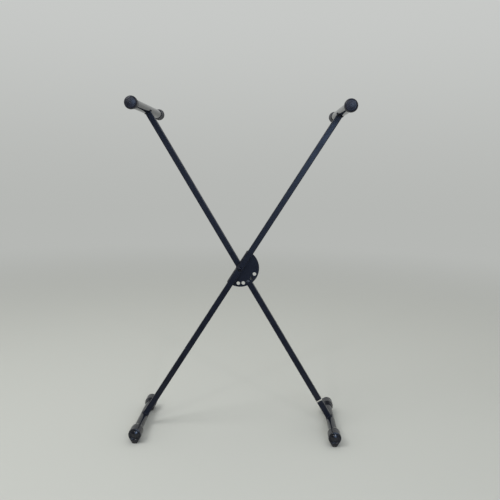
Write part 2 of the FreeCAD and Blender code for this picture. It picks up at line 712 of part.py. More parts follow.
def plunger_spring():
    """Return the compression spring as one unbroken wire between the collar and the gland."""
    radius = SPRING_DIAMETER / 2
    rise = (spring_length - SPRING_WIRE) / SPRING_TURNS
    start = collar_rear + SPRING_WIRE / 2
    quarters = 4 * SPRING_TURNS
    angles = [math.pi / 2 * i for i in range(quarters + 1)]
    edges = []
    for a, b in zip(angles, angles[1:]):
        edges += biarc(
            helix_point(a, radius, rise),
            helix_direction(a, radius, rise),
            helix_point(b, radius, rise),
            helix_direction(b, radius, rise),
        )
    path = Part.Wire(edges)
    ring = Part.Circle(helix_point(0, radius, rise), helix_direction(0, radius, rise), SPRING_WIRE / 2)
    coil = path.makePipeShell([Part.Wire([ring.toShape()])], True, False)
    coil.translate(Vec(0, start, 0))
    steps = [math.pi / 24 * i for i in range(48 * SPRING_TURNS + 1)]
    points = [helix_point(a, radius, rise) for a in steps]
    gaps = [
        p.distanceToPoint(q) - SPRING_WIRE
        for i, p in enumerate(points)
        for q in points[i + 36:]
    ]
    print("least gap between the spring's turns, mm:", round(min(gaps), 3))
    return on_plunger(coil)


def frame_pieces(letter, y, side, holes):
    """Return the pieces that both leg frames have, by name."""
    arm = arm_place(side)
    foot = foot_place(side)
    return {
        f"leg_{letter}_tube": leg_tube(y, side, holes),
        f"leg_{letter}_welds": leg_welds(y, side),
        f"arm_{letter}_tube": bar(y, ARM_LENGTH, CAP_END_WALL, arm),
        f"arm_{letter}_cap_front": arm_cap(y, -1, arm),
        f"arm_{letter}_cap_rear": arm_cap(y, 1, arm),
        f"foot_{letter}_tube": bar(y, FOOT_LENGTH, BOOT_END_WALL, foot),
        f"foot_{letter}_boot_front": foot_boot(y, -1, foot),
        f"foot_{letter}_boot_rear": foot_boot(y, 1, foot),
    }


def all_pieces():
    """Return every piece of the stand by name."""
    bolt_hole = BOLT_DIAMETER / 2 + BOLT_CLEARANCE
    bush_hole = BOLT_DIAMETER / 2 + BUSH_CLEARANCE + BUSH_WALL
    pieces = frame_pieces("a", leg_a_y, 1, [(bolt_hole, 0.0)])
    pieces.update(
        frame_pieces("b", leg_b_y, -1, [(bush_hole, 0.0), (nose_radius, -LOCK_RADIUS)])
    )
    pieces["selector_plate"] = selector_plate()
    pieces["plate_welds"] = plate_welds()
    pieces["leg_b_band"] = leg_band()
    pieces["pivot_bolt"] = pivot_bolt()
    pieces["pivot_head_washer"] = head_washer()
    pieces["pivot_crush_sleeve"] = crush_sleeve()
    pieces["pivot_spacer"] = pivot_spacer()
    pieces["pivot_bush"] = pivot_bush()
    pieces["pivot_tail_washer"] = tail_washer()
    pieces["pivot_lock_nut"] = lock_nut()
    pieces["pivot_lock_nut_ring"] = lock_nut_ring()
    pieces["plunger_barrel"] = plunger_barrel()
    pieces["plunger_gland"] = plunger_gland()
    pieces["plunger_pin"] = plunger_pin()
    pieces["plunger_spring"] = plunger_spring()
    pieces["pull_knob"] = pull_knob()
    pieces["knob_screw"] = knob_screw()
    return pieces


def main():
    """Build every piece and write one file for each."""
    os.makedirs("parts", exist_ok=True)
    for name, shape in all_pieces().items():
        solids = shape.Solids
        volume = sum(solid.Volume for solid in solids)
        print(f"{name}: {len(solids)} solid(s), {volume:.1f} mm3, valid {shape.isValid()}")
        shape.exportStep(f"parts/{name}.step")


main()
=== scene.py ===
"""A folding single-X keyboard stand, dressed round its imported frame."""

import json
import logging
import math
from contextlib import contextmanager
from dataclasses import dataclass
from enum import Enum
from typing import Any, Callable, Iterator, Sequence

import bmesh
import bpy
from mathutils import Matrix, Vector


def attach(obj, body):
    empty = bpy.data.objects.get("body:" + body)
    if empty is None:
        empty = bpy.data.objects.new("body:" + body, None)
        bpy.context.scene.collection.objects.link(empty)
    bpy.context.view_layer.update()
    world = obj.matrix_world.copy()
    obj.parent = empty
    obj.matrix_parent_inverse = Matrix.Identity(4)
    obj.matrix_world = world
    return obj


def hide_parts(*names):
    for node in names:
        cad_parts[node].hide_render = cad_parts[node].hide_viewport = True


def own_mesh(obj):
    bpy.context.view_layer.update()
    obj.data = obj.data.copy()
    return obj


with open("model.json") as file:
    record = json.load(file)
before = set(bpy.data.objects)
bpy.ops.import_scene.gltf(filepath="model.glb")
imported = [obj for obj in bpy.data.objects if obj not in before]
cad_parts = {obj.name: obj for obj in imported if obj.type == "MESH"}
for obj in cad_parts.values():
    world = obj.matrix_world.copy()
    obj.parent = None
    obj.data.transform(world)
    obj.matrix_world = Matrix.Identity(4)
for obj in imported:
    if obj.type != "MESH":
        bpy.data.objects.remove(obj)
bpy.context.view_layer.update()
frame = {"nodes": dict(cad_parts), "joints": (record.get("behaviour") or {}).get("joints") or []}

LOG = logging.getLogger("keyboard_stand")
MM = 0.001

LEAN = math.radians(31.5)  # of each leg from upright
PIVOT = Vector(next(j["pos_m"] for j in frame["joints"] if j["name"] == "fold"))
LEG_HALF = 7.5  # half of the square tube, mm
LEG_CORNER = 1.8
BAR_RADIUS = 11.0
UPPER_LENGTH = 463.0  # pivot to arm axis, mm
LOWER_LENGTH = 477.0  # pivot to foot bar axis, mm


class Leg(Enum):
    """The two legs: letter, lean of the top towards +X, and middle from front to back in mm."""

    FRONT = ("a", 1, -9.25)
    REAR = ("b", -1, 9.25)

    @property
    def letter(self) -> str:
        """Return the letter of the leg in the names of its nodes."""
        return self.value[0]

    @property
    def body(self) -> str:
        """Return the body that the leg moves with."""
        return "frame_" + self.letter

    def stand(self, y: float | None = None) -> Matrix:
        """Return the move from an upright leg, pivot at the origin, to the leg's place.

        Args:
            y: Middle of the piece from front to back in mm, or None for the leg's own.

        Returns:
            The matrix that leans the piece and raises it to the pivot.
        """
        middle = self.value[2] if y is None else y
        raised = Matrix.Translation((PIVOT.x, middle * MM, PIVOT.z))
        return raised @ Matrix.Rotation(self.value[1] * LEAN, 4, "Y")

    def bar_place(self, length: float) -> Vector:
        """Return where a bar's axis lies, a signed length in mm up the leg from the pivot."""
        return self.stand() @ Vector((0.0, 0.0, length * MM))


class End(Enum):
    """The two ends of a bar: name in the nodes and direction along Y."""

    FRONT = ("front", -1)
    REAR = ("rear", 1)


# Modelling by hand, in code.


def focus(*pieces: bpy.types.Object) -> None:
    """Select only these objects, and make the first one active."""
    bpy.ops.object.select_all(action="DESELECT")
    for piece in pieces:
        piece.select_set(True)
    bpy.context.view_layer.objects.active = pieces[0] if pieces else None


def settle(name: str) -> bpy.types.Object:
    """Name the object just added, and bring its place into its mesh.

    Args:
        name: The new name of the object and its mesh.

    Returns:
        The object, at the origin, unturned and unscaled.
    """
    piece = bpy.context.active_object
    focus(piece)
    piece.name = piece.data.name = name
    bpy.ops.object.transform_apply(location=True, rotation=True, scale=True)
    return piece


@contextmanager
def editing(piece: bpy.types.Object) -> Iterator[None]:
    """Hold a piece in edit mode for the length of a with block."""
    focus(piece)
    bpy.ops.object.mode_set(mode="EDIT")
    try:
        yield
    finally:
        bpy.ops.object.mode_set(mode="OBJECT")


def pick(piece: bpy.types.Object, kind: str, test: Callable[[Any], bool]) -> None:
    """Select the parts of a mesh in edit mode that pass a test.

    Args:
        piece: The object in edit mode.
        kind: VERT, EDGE or FACE.
        test: Says of each vertex, edge or face whether it is wanted.
    """
    bpy.ops.mesh.select_mode(type=kind)
    bpy.ops.mesh.select_all(action="DESELECT")
    mesh = bmesh.from_edit_mesh(piece.data)
    for part in {"VERT": mesh.verts, "EDGE": mesh.edges, "FACE": mesh.faces}[kind]:
        if test(part):
            part.select_set(True)
    mesh.select_flush_mode()
    bmesh.update_edit_mesh(piece.data)


def finish_with(piece: bpy.types.Object, kind: str, **settings: Any) -> None:
    """Put a modifier on a piece and apply it."""
    focus(piece)
    modifier = piece.modifiers.new(kind.title(), kind)
    for key, value in settings.items():
        setattr(modifier, key, value)
    bpy.ops.object.modifier_apply(modifier=modifier.name)


def copy_to(master: bpy.types.Object, name: str, place: Matrix) -> bpy.types.Object:
    """Copy a piece with a mesh of its own.

    Args:
        master: The piece to copy.
        name: The copy's name.
        place: The move from the master to the copy.

    Returns:
        The copy, with its place in its mesh.
    """
    twin = master.copy()
    twin.data = master.data.copy()
    twin.name = twin.data.name = name
    twin.data.transform(place)
    bpy.context.scene.collection.objects.link(twin)
    return twin


def fuse(name: str, pieces: Sequence[bpy.types.Object]) -> bpy.types.Object:
    """Join pieces into one object of that name."""
    focus(*pieces)
    if len(pieces) > 1:
        bpy.ops.object.join()
    return settle(name)


def scrap(*pieces: bpy.types.Object) -> None:
    """Throw away tools and masters that aren't part of the object."""
    for piece in pieces:
        bpy.data.objects.remove(piece)


def carve(piece: bpy.types.Object, *tools: bpy.types.Object) -> None:
    """Cut each tool out of a piece, and throw the tools away."""
    for tool in tools:
        finish_with(piece, "BOOLEAN", operation="DIFFERENCE", solver="EXACT", object=tool)
    scrap(*tools)


def round_bar(name: str, radius: float, y_from: float, y_to: float, **place: float) -> bpy.types.Object:
    """Add a round bar along Y, to cut with or to shape further.

    Args:
        name: The object's name.
        radius: Its radius in mm.
        y_from: Where it starts in mm.
        y_to: Where it ends in mm.
        **place: x and z of its axis in mm, and sides.

    Returns:
        The bar.
    """
    bpy.ops.mesh.primitive_cylinder_add(
        vertices=int(place.get("sides", 64)),
        radius=radius * MM,
        depth=(y_to - y_from) * MM,
        location=(place.get("x", 0.0) * MM, (y_from + y_to) / 2 * MM, place.get("z", 0.0) * MM),
        rotation=(math.pi / 2, 0.0, 0.0),
    )
    return settle(name)


def turn_up(name: str, rings: Sequence[tuple[float, float]], sides: int = 96) -> bpy.types.Object:
    """Raise a closed turned shape ring by ring along Y, as on a lathe.

    Args:
        name: The object's name.
        rings: Radius and station of each ring in mm. The first is filled, the last closed on the axis.
        sides: Vertices of a ring.

    Returns:
        The piece, its axis on Y through the origin.
    """
    first_radius, first_station = rings[0]
    bpy.ops.mesh.primitive_circle_add(
        vertices=sides,
        radius=first_radius * MM,
        fill_type="NGON",
        location=(0.0, first_station * MM, 0.0),
        rotation=(math.pi / 2, 0.0, 0.0),
    )
    piece = settle(name)
    with editing(piece):
        bpy.ops.mesh.select_mode(type="EDGE")
        bpy.ops.mesh.select_all(action="SELECT")
        radius, station = first_radius, first_station
        for next_radius, next_station in rings[1:]:
            step = (0.0, (next_station - station) * MM, 0.0)
            bpy.ops.mesh.extrude_edges_move(TRANSFORM_OT_translate={"value": step})
            if next_radius > 0.0:
                share = next_radius / radius
                middle = (0.0, next_station * MM, 0.0)
                bpy.ops.transform.resize(value=(share, 1.0, share), center_override=middle)
            else:
                bpy.ops.mesh.merge(type="CENTER")
            radius, station = next_radius, next_station
        bpy.ops.mesh.select_all(action="SELECT")
        bpy.ops.mesh.normals_make_consistent(inside=False)
    return piece


def quarter(centre: tuple[float, float], radius: float, steps: int) -> list[tuple[float, float]]:
    """Return the rings of a rounded shoulder, from full radius round to the end face."""
    angles = [math.pi / 2 * i / steps for i in range(1, steps + 1)]
    return [(centre[0] + radius * math.cos(a), centre[1] + radius * math.sin(a)) for a in angles]


def crown(edge: float, station: float, rise: float, radii: Sequence[float]) -> list[tuple[float, float]]:
    """Return rings on a shallow dome that starts at a rim radius and rises to its middle."""
    ball = (edge * edge + rise * rise) / (2.0 * rise)
    top = station + rise
    return [(r, top - ball + math.sqrt(ball * ball - r * r)) for r in radii]


# Finishes.


def linear(code: str) -> tuple[float, float, float, float]:
    """Turn an sRGB hex colour into linear RGBA.

    Args:
        code: Six hex digits after a hash sign.

    Returns:
        Linear red, green, blue and an alpha of 1.
    """
    parts = [int(code[i : i + 2], 16) / 255.0 for i in (1, 3, 5)]
    red, green, blue = (
        p / 12.92 if p <= 0.04045 else ((p + 0.055) / 1.055) ** 2.4 for p in parts
    )
    return red, green, blue, 1.0


def per(period: float) -> float:
    """Return the texture scale of a pattern that repeats every so many mm."""
    return 1.0 / (period * MM)


class Wiring:
    """A node tree while it is put together."""

    def __init__(self, tree: bpy.types.NodeTree) -> None:
        """Hold the tree that nodes are added to."""
        self.tree = tree

    def add(
        self,
        kind: str,
        values: dict[Any, Any] | None = None,
        links: dict[Any, Any] | None = None,
        **settings: Any,
    ) -> bpy.types.Node:
        """Add a node.

        Args:
            kind: The node's type name.
            values: Input values by socket name or number.
            links: Output sockets to join to inputs, by socket name or number.
            **settings: Properties of the node itself.

        Returns:
            The new node.
        """
        node = self.tree.nodes.new(kind)
        for key, value in settings.items():
            setattr(node, key, value)
        for key, value in (values or {}).items():
            node.inputs[key].default_value = value
        for key, source in (links or {}).items():
            self.tree.links.new(source, node.inputs[key])
        return node


class Surface(Wiring):
    """A material while it is put together: its shader, its nodes and its coordinates."""

    def __init__(self, name: str, shader: dict[str, Any]) -> None:
        """Start a material.

        Args:
            name: The material's name.
            shader: Values set on the Principled shader's own sockets.
        """
        self.material = bpy.data.materials.new(name)
        self.material.use_nodes = True
        super().__init__(self.material.node_tree)
        self.shader = self.tree.nodes["Principled BSDF"]
        for socket, value in shader.items():
            self.shader.inputs[socket].default_value = value
        self.coords = self.add("ShaderNodeTexCoord").outputs["Object"]

    def join(self, **sources: bpy.types.NodeSocket) -> bpy.types.Material:
        """Link sockets to the shader's Base_Color, Roughness or Normal, and return the material."""
        for socket, source in sources.items():
            self.tree.links.new(source, self.shader.inputs[socket.replace("_", " ")])
        return self.material


@dataclass(frozen=True)
class GlossEnamel:
    """Stoved gloss enamel on drawn steel tube.

    It gives a deep black with a glassy reflection of the room, broken a little by orange peel and by
    fine rubs that run round the bar where keyboards have been slid on and off.
    """

    colour: str = "#0e121c"
    rubbed: str = "#1b1d26"
    peel: float = 2.6  # wavelength of the orange peel, mm
    cloud: float = 42.0  # size of a dull patch, mm
    rub: float = 1.4  # spacing of the rubs along the bar, drawn coarser than real ones, mm

    def material(self) -> bpy.types.Material:
        """Return the enamel."""
        s = Surface("gloss_stoved_enamel", {"IOR": 1.5})
        patch = s.add(
            "ShaderNodeTexNoise",
            {"Scale": per(self.cloud), "Detail": 3.0, "Roughness": 0.6},
            {"Vector": s.coords},
        )
        squeezed = s.add("ShaderNodeMapping", {"Scale": (0.12, 1.0, 0.12)}, {"Vector": s.coords})
        rubs = s.add(
            "ShaderNodeTexNoise",
            {"Scale": per(self.rub), "Detail": 2.0, "Roughness": 0.5},
            {"Vector": squeezed.outputs[0]},
        )
        worn = s.add(
            "ShaderNodeMapRange",
            {"From Min": 0.47, "From Max": 0.68},
            {"Value": patch.outputs[0]},
        )
        lines = s.add(
            "ShaderNodeMapRange",
            {"From Min": 0.5, "From Max": 0.66},
            {"Value": rubs.outputs[0]},
        )
        scuff = s.add(
            "ShaderNodeMath", {}, {0: worn.outputs[0], 1: lines.outputs[0]}, operation="MULTIPLY"
        )
        tint = s.add(
            "ShaderNodeMix",
            {6: linear(self.colour), 7: linear(self.rubbed)},
            {0: scuff.outputs[0]},
            data_type="RGBA",
        )
        gloss = s.add(
            "ShaderNodeMapRange", {"To Min": 0.13, "To Max": 0.34}, {"Value": scuff.outputs[0]}
        )
        peel = s.add(
            "ShaderNodeTexNoise",
            {"Scale": per(self.peel), "Detail": 1.0},
            {"Vector": s.coords},
        )
        bump = s.add(
            "ShaderNodeBump",
            {"Strength": 0.25, "Distance": 0.05 * MM},
            {"Height": peel.outputs[0]},
        )
        return s.join(
            Base_Color=tint.outputs[2], Roughness=gloss.outputs[0], Normal=bump.outputs[0]
        )


@dataclass(frozen=True)
class PowderCoat:
    """Satin black powder coat on square tube and pressings.

    It gives a soft black with a fine pebbled skin. The coat is thin on corners, where knocks have
    taken it down to grey primer in short flecks.
    """

    leg: Leg
    y: float | None = None
    corner: float = LEG_HALF  # half width at which the corners of the section lie, mm
    colour: str = "#0c101c"
    mottle: str = "#141826"
    primer: str = "#2b2b33"
    pebble: float = 0.55  # mm, drawn a little coarser than the real 0.3
    knock: float = 6.0  # length of a fleck, mm

    def leg_coords(self, s: Surface) -> bpy.types.NodeSocket:
        """Return coordinates of the upright leg, pivot at the origin, in metres."""
        back = self.leg.stand(self.y).inverted()
        turned = s.add(
            "ShaderNodeMapping",
            {"Location": back.to_translation(), "Rotation": back.to_euler()},
            {"Vector": s.coords},
        )
        return turned.outputs[0]

    def edges(self, s: Surface, upright: bpy.types.NodeSocket) -> bpy.types.NodeSocket:
        """Return how near a point lies to the long corners of the tube, 0 to 1."""
        size = s.add("ShaderNodeVectorMath", {}, {0: upright}, operation="ABSOLUTE")
        split = s.add("ShaderNodeSeparateXYZ", {}, {0: size.outputs[0]})
        least = s.add(
            "ShaderNodeMath", {}, {0: split.outputs[0], 1: split.outputs[1]}, operation="MINIMUM"
        )
        near = s.add(
            "ShaderNodeMapRange",
            {"From Min": (self.corner - 1.7) * MM, "From Max": (self.corner - 0.7) * MM},
            {"Value": least.outputs[0]},
        )
        return near.outputs[0]

    def material(self) -> bpy.types.Material:
        """Return the powder coat, with its wear set for this piece."""
        s = Surface(
            f"satin_powder_coat_{type(self).__name__.lower()}_{self.leg.letter}",
            {"IOR": 1.45, "Specular IOR Level": 0.42},
        )
        upright = self.leg_coords(s)
        cloud = s.add(
            "ShaderNodeTexNoise",
            {"Scale": per(30.0), "Detail": 4.0, "Roughness": 0.6},
            {"Vector": upright},
        )
        flecks = s.add(
            "ShaderNodeTexNoise",
            {"Scale": per(self.knock), "Detail": 4.0, "Roughness": 0.7},
            {"Vector": upright},
        )
        chance = s.add(
            "ShaderNodeMapRange",
            {"From Min": 0.585, "From Max": 0.65},
            {"Value": flecks.outputs[0]},
        )
        bare = s.add(
            "ShaderNodeMath",
            {},
            {0: chance.outputs[0], 1: self.edges(s, upright)},
            operation="MULTIPLY",
        )
        coat = s.add(
            "ShaderNodeMix",
            {6: linear(self.colour), 7: linear(self.mottle)},
            {0: cloud.outputs[0]},
            data_type="RGBA",
        )
        tint = s.add(
            "ShaderNodeMix",
            {7: linear(self.primer)},
            {0: bare.outputs[0], 6: coat.outputs[2]},
            data_type="RGBA",
        )
        gloss = s.add(
            "ShaderNodeMapRange",
            {"From Min": 0.3, "From Max": 0.7, "To Min": 0.3, "To Max": 0.44},
            {"Value": cloud.outputs[0]},
        )
        grain = s.add(
            "ShaderNodeTexNoise", {"Scale": per(self.pebble), "Detail": 2.0}, {"Vector": upright}
        )
        bump = s.add(
            "ShaderNodeBump",
            {"Strength": 0.3, "Distance": 0.032 * MM},
            {"Height": grain.outputs[0]},
        )
        return s.join(
            Base_Color=tint.outputs[2], Roughness=gloss.outputs[0], Normal=bump.outputs[0]
        )


@dataclass(frozen=True)
class PlateCoat(PowderCoat):
    """The same powder coat on the selector plate, worn on its rim and the edge of its lip.

    Its rim and the front edge of the lip are rubbed brownish.
    """

    primer: str = "#3d2e2b"
    rim: float = 48.6  # radius at which the rim's wear starts, mm
    track: float = 40.0  # radius of the row of holes, mm
    lip_front: float = -12.0  # mm

    def edges(self, s: Surface, upright: bpy.types.NodeSocket) -> bpy.types.NodeSocket:
        """Return how near a point lies to the rim or the lip's edge, 0 to 1."""
        split = s.add("ShaderNodeSeparateXYZ", {}, {0: upright})
        flat = s.add(
            "ShaderNodeCombineXYZ", {}, {0: split.outputs[0], 2: split.outputs[2]}
        )
        radius = s.add("ShaderNodeVectorMath", {}, {0: flat.outputs[0]}, operation="LENGTH")
        rim = s.add(
            "ShaderNodeMapRange",
            {"From Min": (self.rim - 0.5) * MM, "From Max": (self.rim + 0.3) * MM},
            {"Value": radius.outputs["Value"]},
        )
        lip = s.add(
            "ShaderNodeMapRange",
            {"From Min": (self.lip_front + 0.6) * MM, "From Max": (self.lip_front - 0.5) * MM},
            {"Value": split.outputs[1]},
        )
        return s.add(
            "ShaderNodeMath", {}, {0: rim.outputs[0], 1: lip.outputs[0]}, operation="MAXIMUM"
        ).outputs[0]


@dataclass(frozen=True)
class MouldedRubber:
    """Moulded synthetic rubber of the caps and boots.

    It gives a dull black with a fine eroded texture from the mould and a greyish bloom. The parts
    near the floor hold pale dust.
    """

    name: str
    colour: str = "#131623"
    bloom: str = "#1e202e"
    dust: str = "#5a5650"
    dust_height: float = 0.0  # how high the floor's dust reaches, mm
    texture: float = 0.7  # grain of the mould, drawn a little coarser than real, mm
    roughness: float = 0.46

    def material(self) -> bpy.types.Material:
        """Return the rubber."""
        s = Surface(self.name, {"IOR": 1.5, "Specular IOR Level": 0.5})
        cloud = s.add(
            "ShaderNodeTexNoise",
            {"Scale": per(14.0), "Detail": 5.0, "Roughness": 0.62},
            {"Vector": s.coords},
        )
        mottled = s.add(
            "ShaderNodeMapRange",
            {"From Min": 0.38, "From Max": 0.66},
            {"Value": cloud.outputs[0]},
        )
        skin = s.add(
            "ShaderNodeMix",
            {6: linear(self.colour), 7: linear(self.bloom)},
            {0: mottled.outputs[0]},
            data_type="RGBA",
        )
        split = s.add("ShaderNodeSeparateXYZ", {}, {0: s.coords})
        low = s.add(
            "ShaderNodeMapRange",
            {"From Min": self.dust_height * MM, "From Max": 0.0, "To Max": 0.55},
            {"Value": split.outputs[2]},
        )
        dusty = s.add(
            "ShaderNodeMath", {}, {0: low.outputs[0], 1: cloud.outputs[0]}, operation="MULTIPLY"
        )
        tint = s.add(
            "ShaderNodeMix",
            {7: linear(self.dust)},
            {0: dusty.outputs[0], 6: skin.outputs[2]},
            data_type="RGBA",
        )
        gloss = s.add(
            "ShaderNodeMapRange",
            {
                "From Min": 0.35,
                "From Max": 0.7,
                "To Min": self.roughness - 0.06,
                "To Max": self.roughness + 0.12,
            },
            {"Value": cloud.outputs[0]},
        )
        grain = s.add(
            "ShaderNodeTexNoise",
            {"Scale": per(self.texture), "Detail": 2.0},
            {"Vector": s.coords},
        )
        bump = s.add(
            "ShaderNodeBump",
            {"Strength": 0.22, "Distance": 0.022 * MM},
            {"Height": grain.outputs[0]},
        )
        return s.join(
            Base_Color=tint.outputs[2], Roughness=gloss.outputs[0], Normal=bump.outputs[0]
        )


@dataclass(frozen=True)
class PlatedSteel:
    """Steel under a thin plating or left bare: bright zinc, black zinc, turned or drawn steel.

    It gives a metal whose tone drifts between two tints, as a passivated coat does, with fine
    marks that run round the axis the piece was turned on.
    """

    name: str
    tone: str
    drift: str
    roughness: float
    marks: float  # spacing of the tool marks along the axis, mm
    patch: float = 7.0  # size of a patch of one tint, mm
    depth: float = 0.02  # of the marks, mm

    def material(self) -> bpy.types.Material:
        """Return the metal."""
        s = Surface(self.name, {"Metallic": 1.0})
        cloud = s.add(
            "ShaderNodeTexNoise",
            {"Scale": per(self.patch), "Detail": 3.0, "Roughness": 0.55},
            {"Vector": s.coords},
        )
        shift = s.add(
            "ShaderNodeMapRange",
            {"From Min": 0.36, "From Max": 0.64},
            {"Value": cloud.outputs[0]},
        )
        tint = s.add(
            "ShaderNodeMix",
            {6: linear(self.tone), 7: linear(self.drift)},
            {0: shift.outputs[0]},
            data_type="RGBA",
        )
        gloss = s.add(
            "ShaderNodeMapRange",
            {"To Min": self.roughness - 0.08, "To Max": self.roughness + 0.1},
            {"Value": cloud.outputs[0]},
        )
        squeezed = s.add("ShaderNodeMapping", {"Scale": (0.08, 1.0, 0.08)}, {"Vector": s.coords})
        lines = s.add(
            "ShaderNodeTexNoise",
            {"Scale": per(self.marks), "Detail": 2.0},
            {"Vector": squeezed.outputs[0]},
        )
        bump = s.add(
            "ShaderNodeBump",
            {"Strength": 0.4, "Distance": self.depth * MM},
            {"Height": lines.outputs[0]},
        )
        return s.join(
            Base_Color=tint.outputs[2], Roughness=gloss.outputs[0], Normal=bump.outputs[0]
        )


@dataclass(frozen=True)
class MouldedPlastic:
    """Injection-moulded plastic: the nylon of the bearings and the black knob.

    It gives a slightly waxy skin with a fine spark texture and faint flow marks.
    """

    name: str
    colour: str
    flow: str
    roughness: float
    texture: float = 0.6  # mm
    ior: float = 1.53

    def material(self) -> bpy.types.Material:
        """Return the plastic."""
        s = Surface(self.name, {"IOR": self.ior})
        cloud = s.add(
            "ShaderNodeTexNoise",
            {"Scale": per(9.0), "Detail": 3.0, "Roughness": 0.5, "Distortion": 0.6},
            {"Vector": s.coords},
        )
        tint = s.add(
            "ShaderNodeMix",
            {6: linear(self.colour), 7: linear(self.flow)},
            {0: cloud.outputs[0]},
            data_type="RGBA",
        )
        gloss = s.add(
            "ShaderNodeMapRange",
            {"To Min": self.roughness - 0.08, "To Max": self.roughness + 0.08},
            {"Value": cloud.outputs[0]},
        )
        grain = s.add(
            "ShaderNodeTexNoise",
            {"Scale": per(self.texture), "Detail": 2.0},
            {"Vector": s.coords},
        )
        bump = s.add(
            "ShaderNodeBump",
            {"Strength": 0.25, "Distance": 0.05 * MM},
            {"Height": grain.outputs[0]},
        )
        return s.join(
            Base_Color=tint.outputs[2], Roughness=gloss.outputs[0], Normal=bump.outputs[0]
        )


@dataclass(frozen=True)
class WovenTape:
    """Off-white woven polyester tape.

    It gives a matt pale band with fine threads across it, a little grey where hands have been.
    """

    colour: str = "#cfccc3"
    soiled: str = "#a19c91"
    thread: float = 0.45  # mm

    def material(self) -> bpy.types.Material:
        """Return the tape."""
        s = Surface("woven_polyester_tape", {"Roughness": 0.85, "IOR": 1.5, "Sheen Weight": 0.15})
        cloud = s.add(
            "ShaderNodeTexNoise",
            {"Scale": per(5.0), "Detail": 4.0, "Roughness": 0.65},
            {"Vector": s.coords},
        )
        grime = s.add(
            "ShaderNodeMapRange", {"From Min": 0.42, "From Max": 0.7}, {"Value": cloud.outputs[0]}
        )
        tint = s.add(
            "ShaderNodeMix",
            {6: linear(self.colour), 7: linear(self.soiled)},
            {0: grime.outputs[0]},
            data_type="RGBA",
        )
        weave = s.add(
            "ShaderNodeTexWave",
            {"Scale": per(self.thread) / (2.0 * math.pi), "Distortion": 0.5},
            {"Vector": s.coords},
            bands_direction="DIAGONAL",
        )
        bump = s.add(
            "ShaderNodeBump",
            {"Strength": 0.4, "Distance": 0.08 * MM},
            {"Height": weave.outputs[1]},
        )
        return s.join(Base_Color=tint.outputs[2], Normal=bump.outputs[0])


def cover(piece: bpy.types.Object, material: bpy.types.Material) -> None:
    """Put one material on a modelled piece."""
    piece.data.materials.clear()
    piece.data.materials.append(material)


def refinish(material: bpy.types.Material, *nodes: str) -> None:
    """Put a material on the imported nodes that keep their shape."""
    for name in nodes:
        for place in frame["nodes"][name].material_slots:
            place.material = material
        LOG.info("%s keeps its shape and gets %s", name, material.name)


def seat(piece: bpy.types.Object, body: str, slot: str, *nodes: str) -> None:
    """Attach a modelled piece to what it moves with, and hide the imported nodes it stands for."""
    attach(piece, body)
    if nodes:
        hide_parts(*nodes)
    LOG.info("%s: %d faces, rides on %s", piece.name, len(piece.data.polygons), body)


# Sub-assemblies.


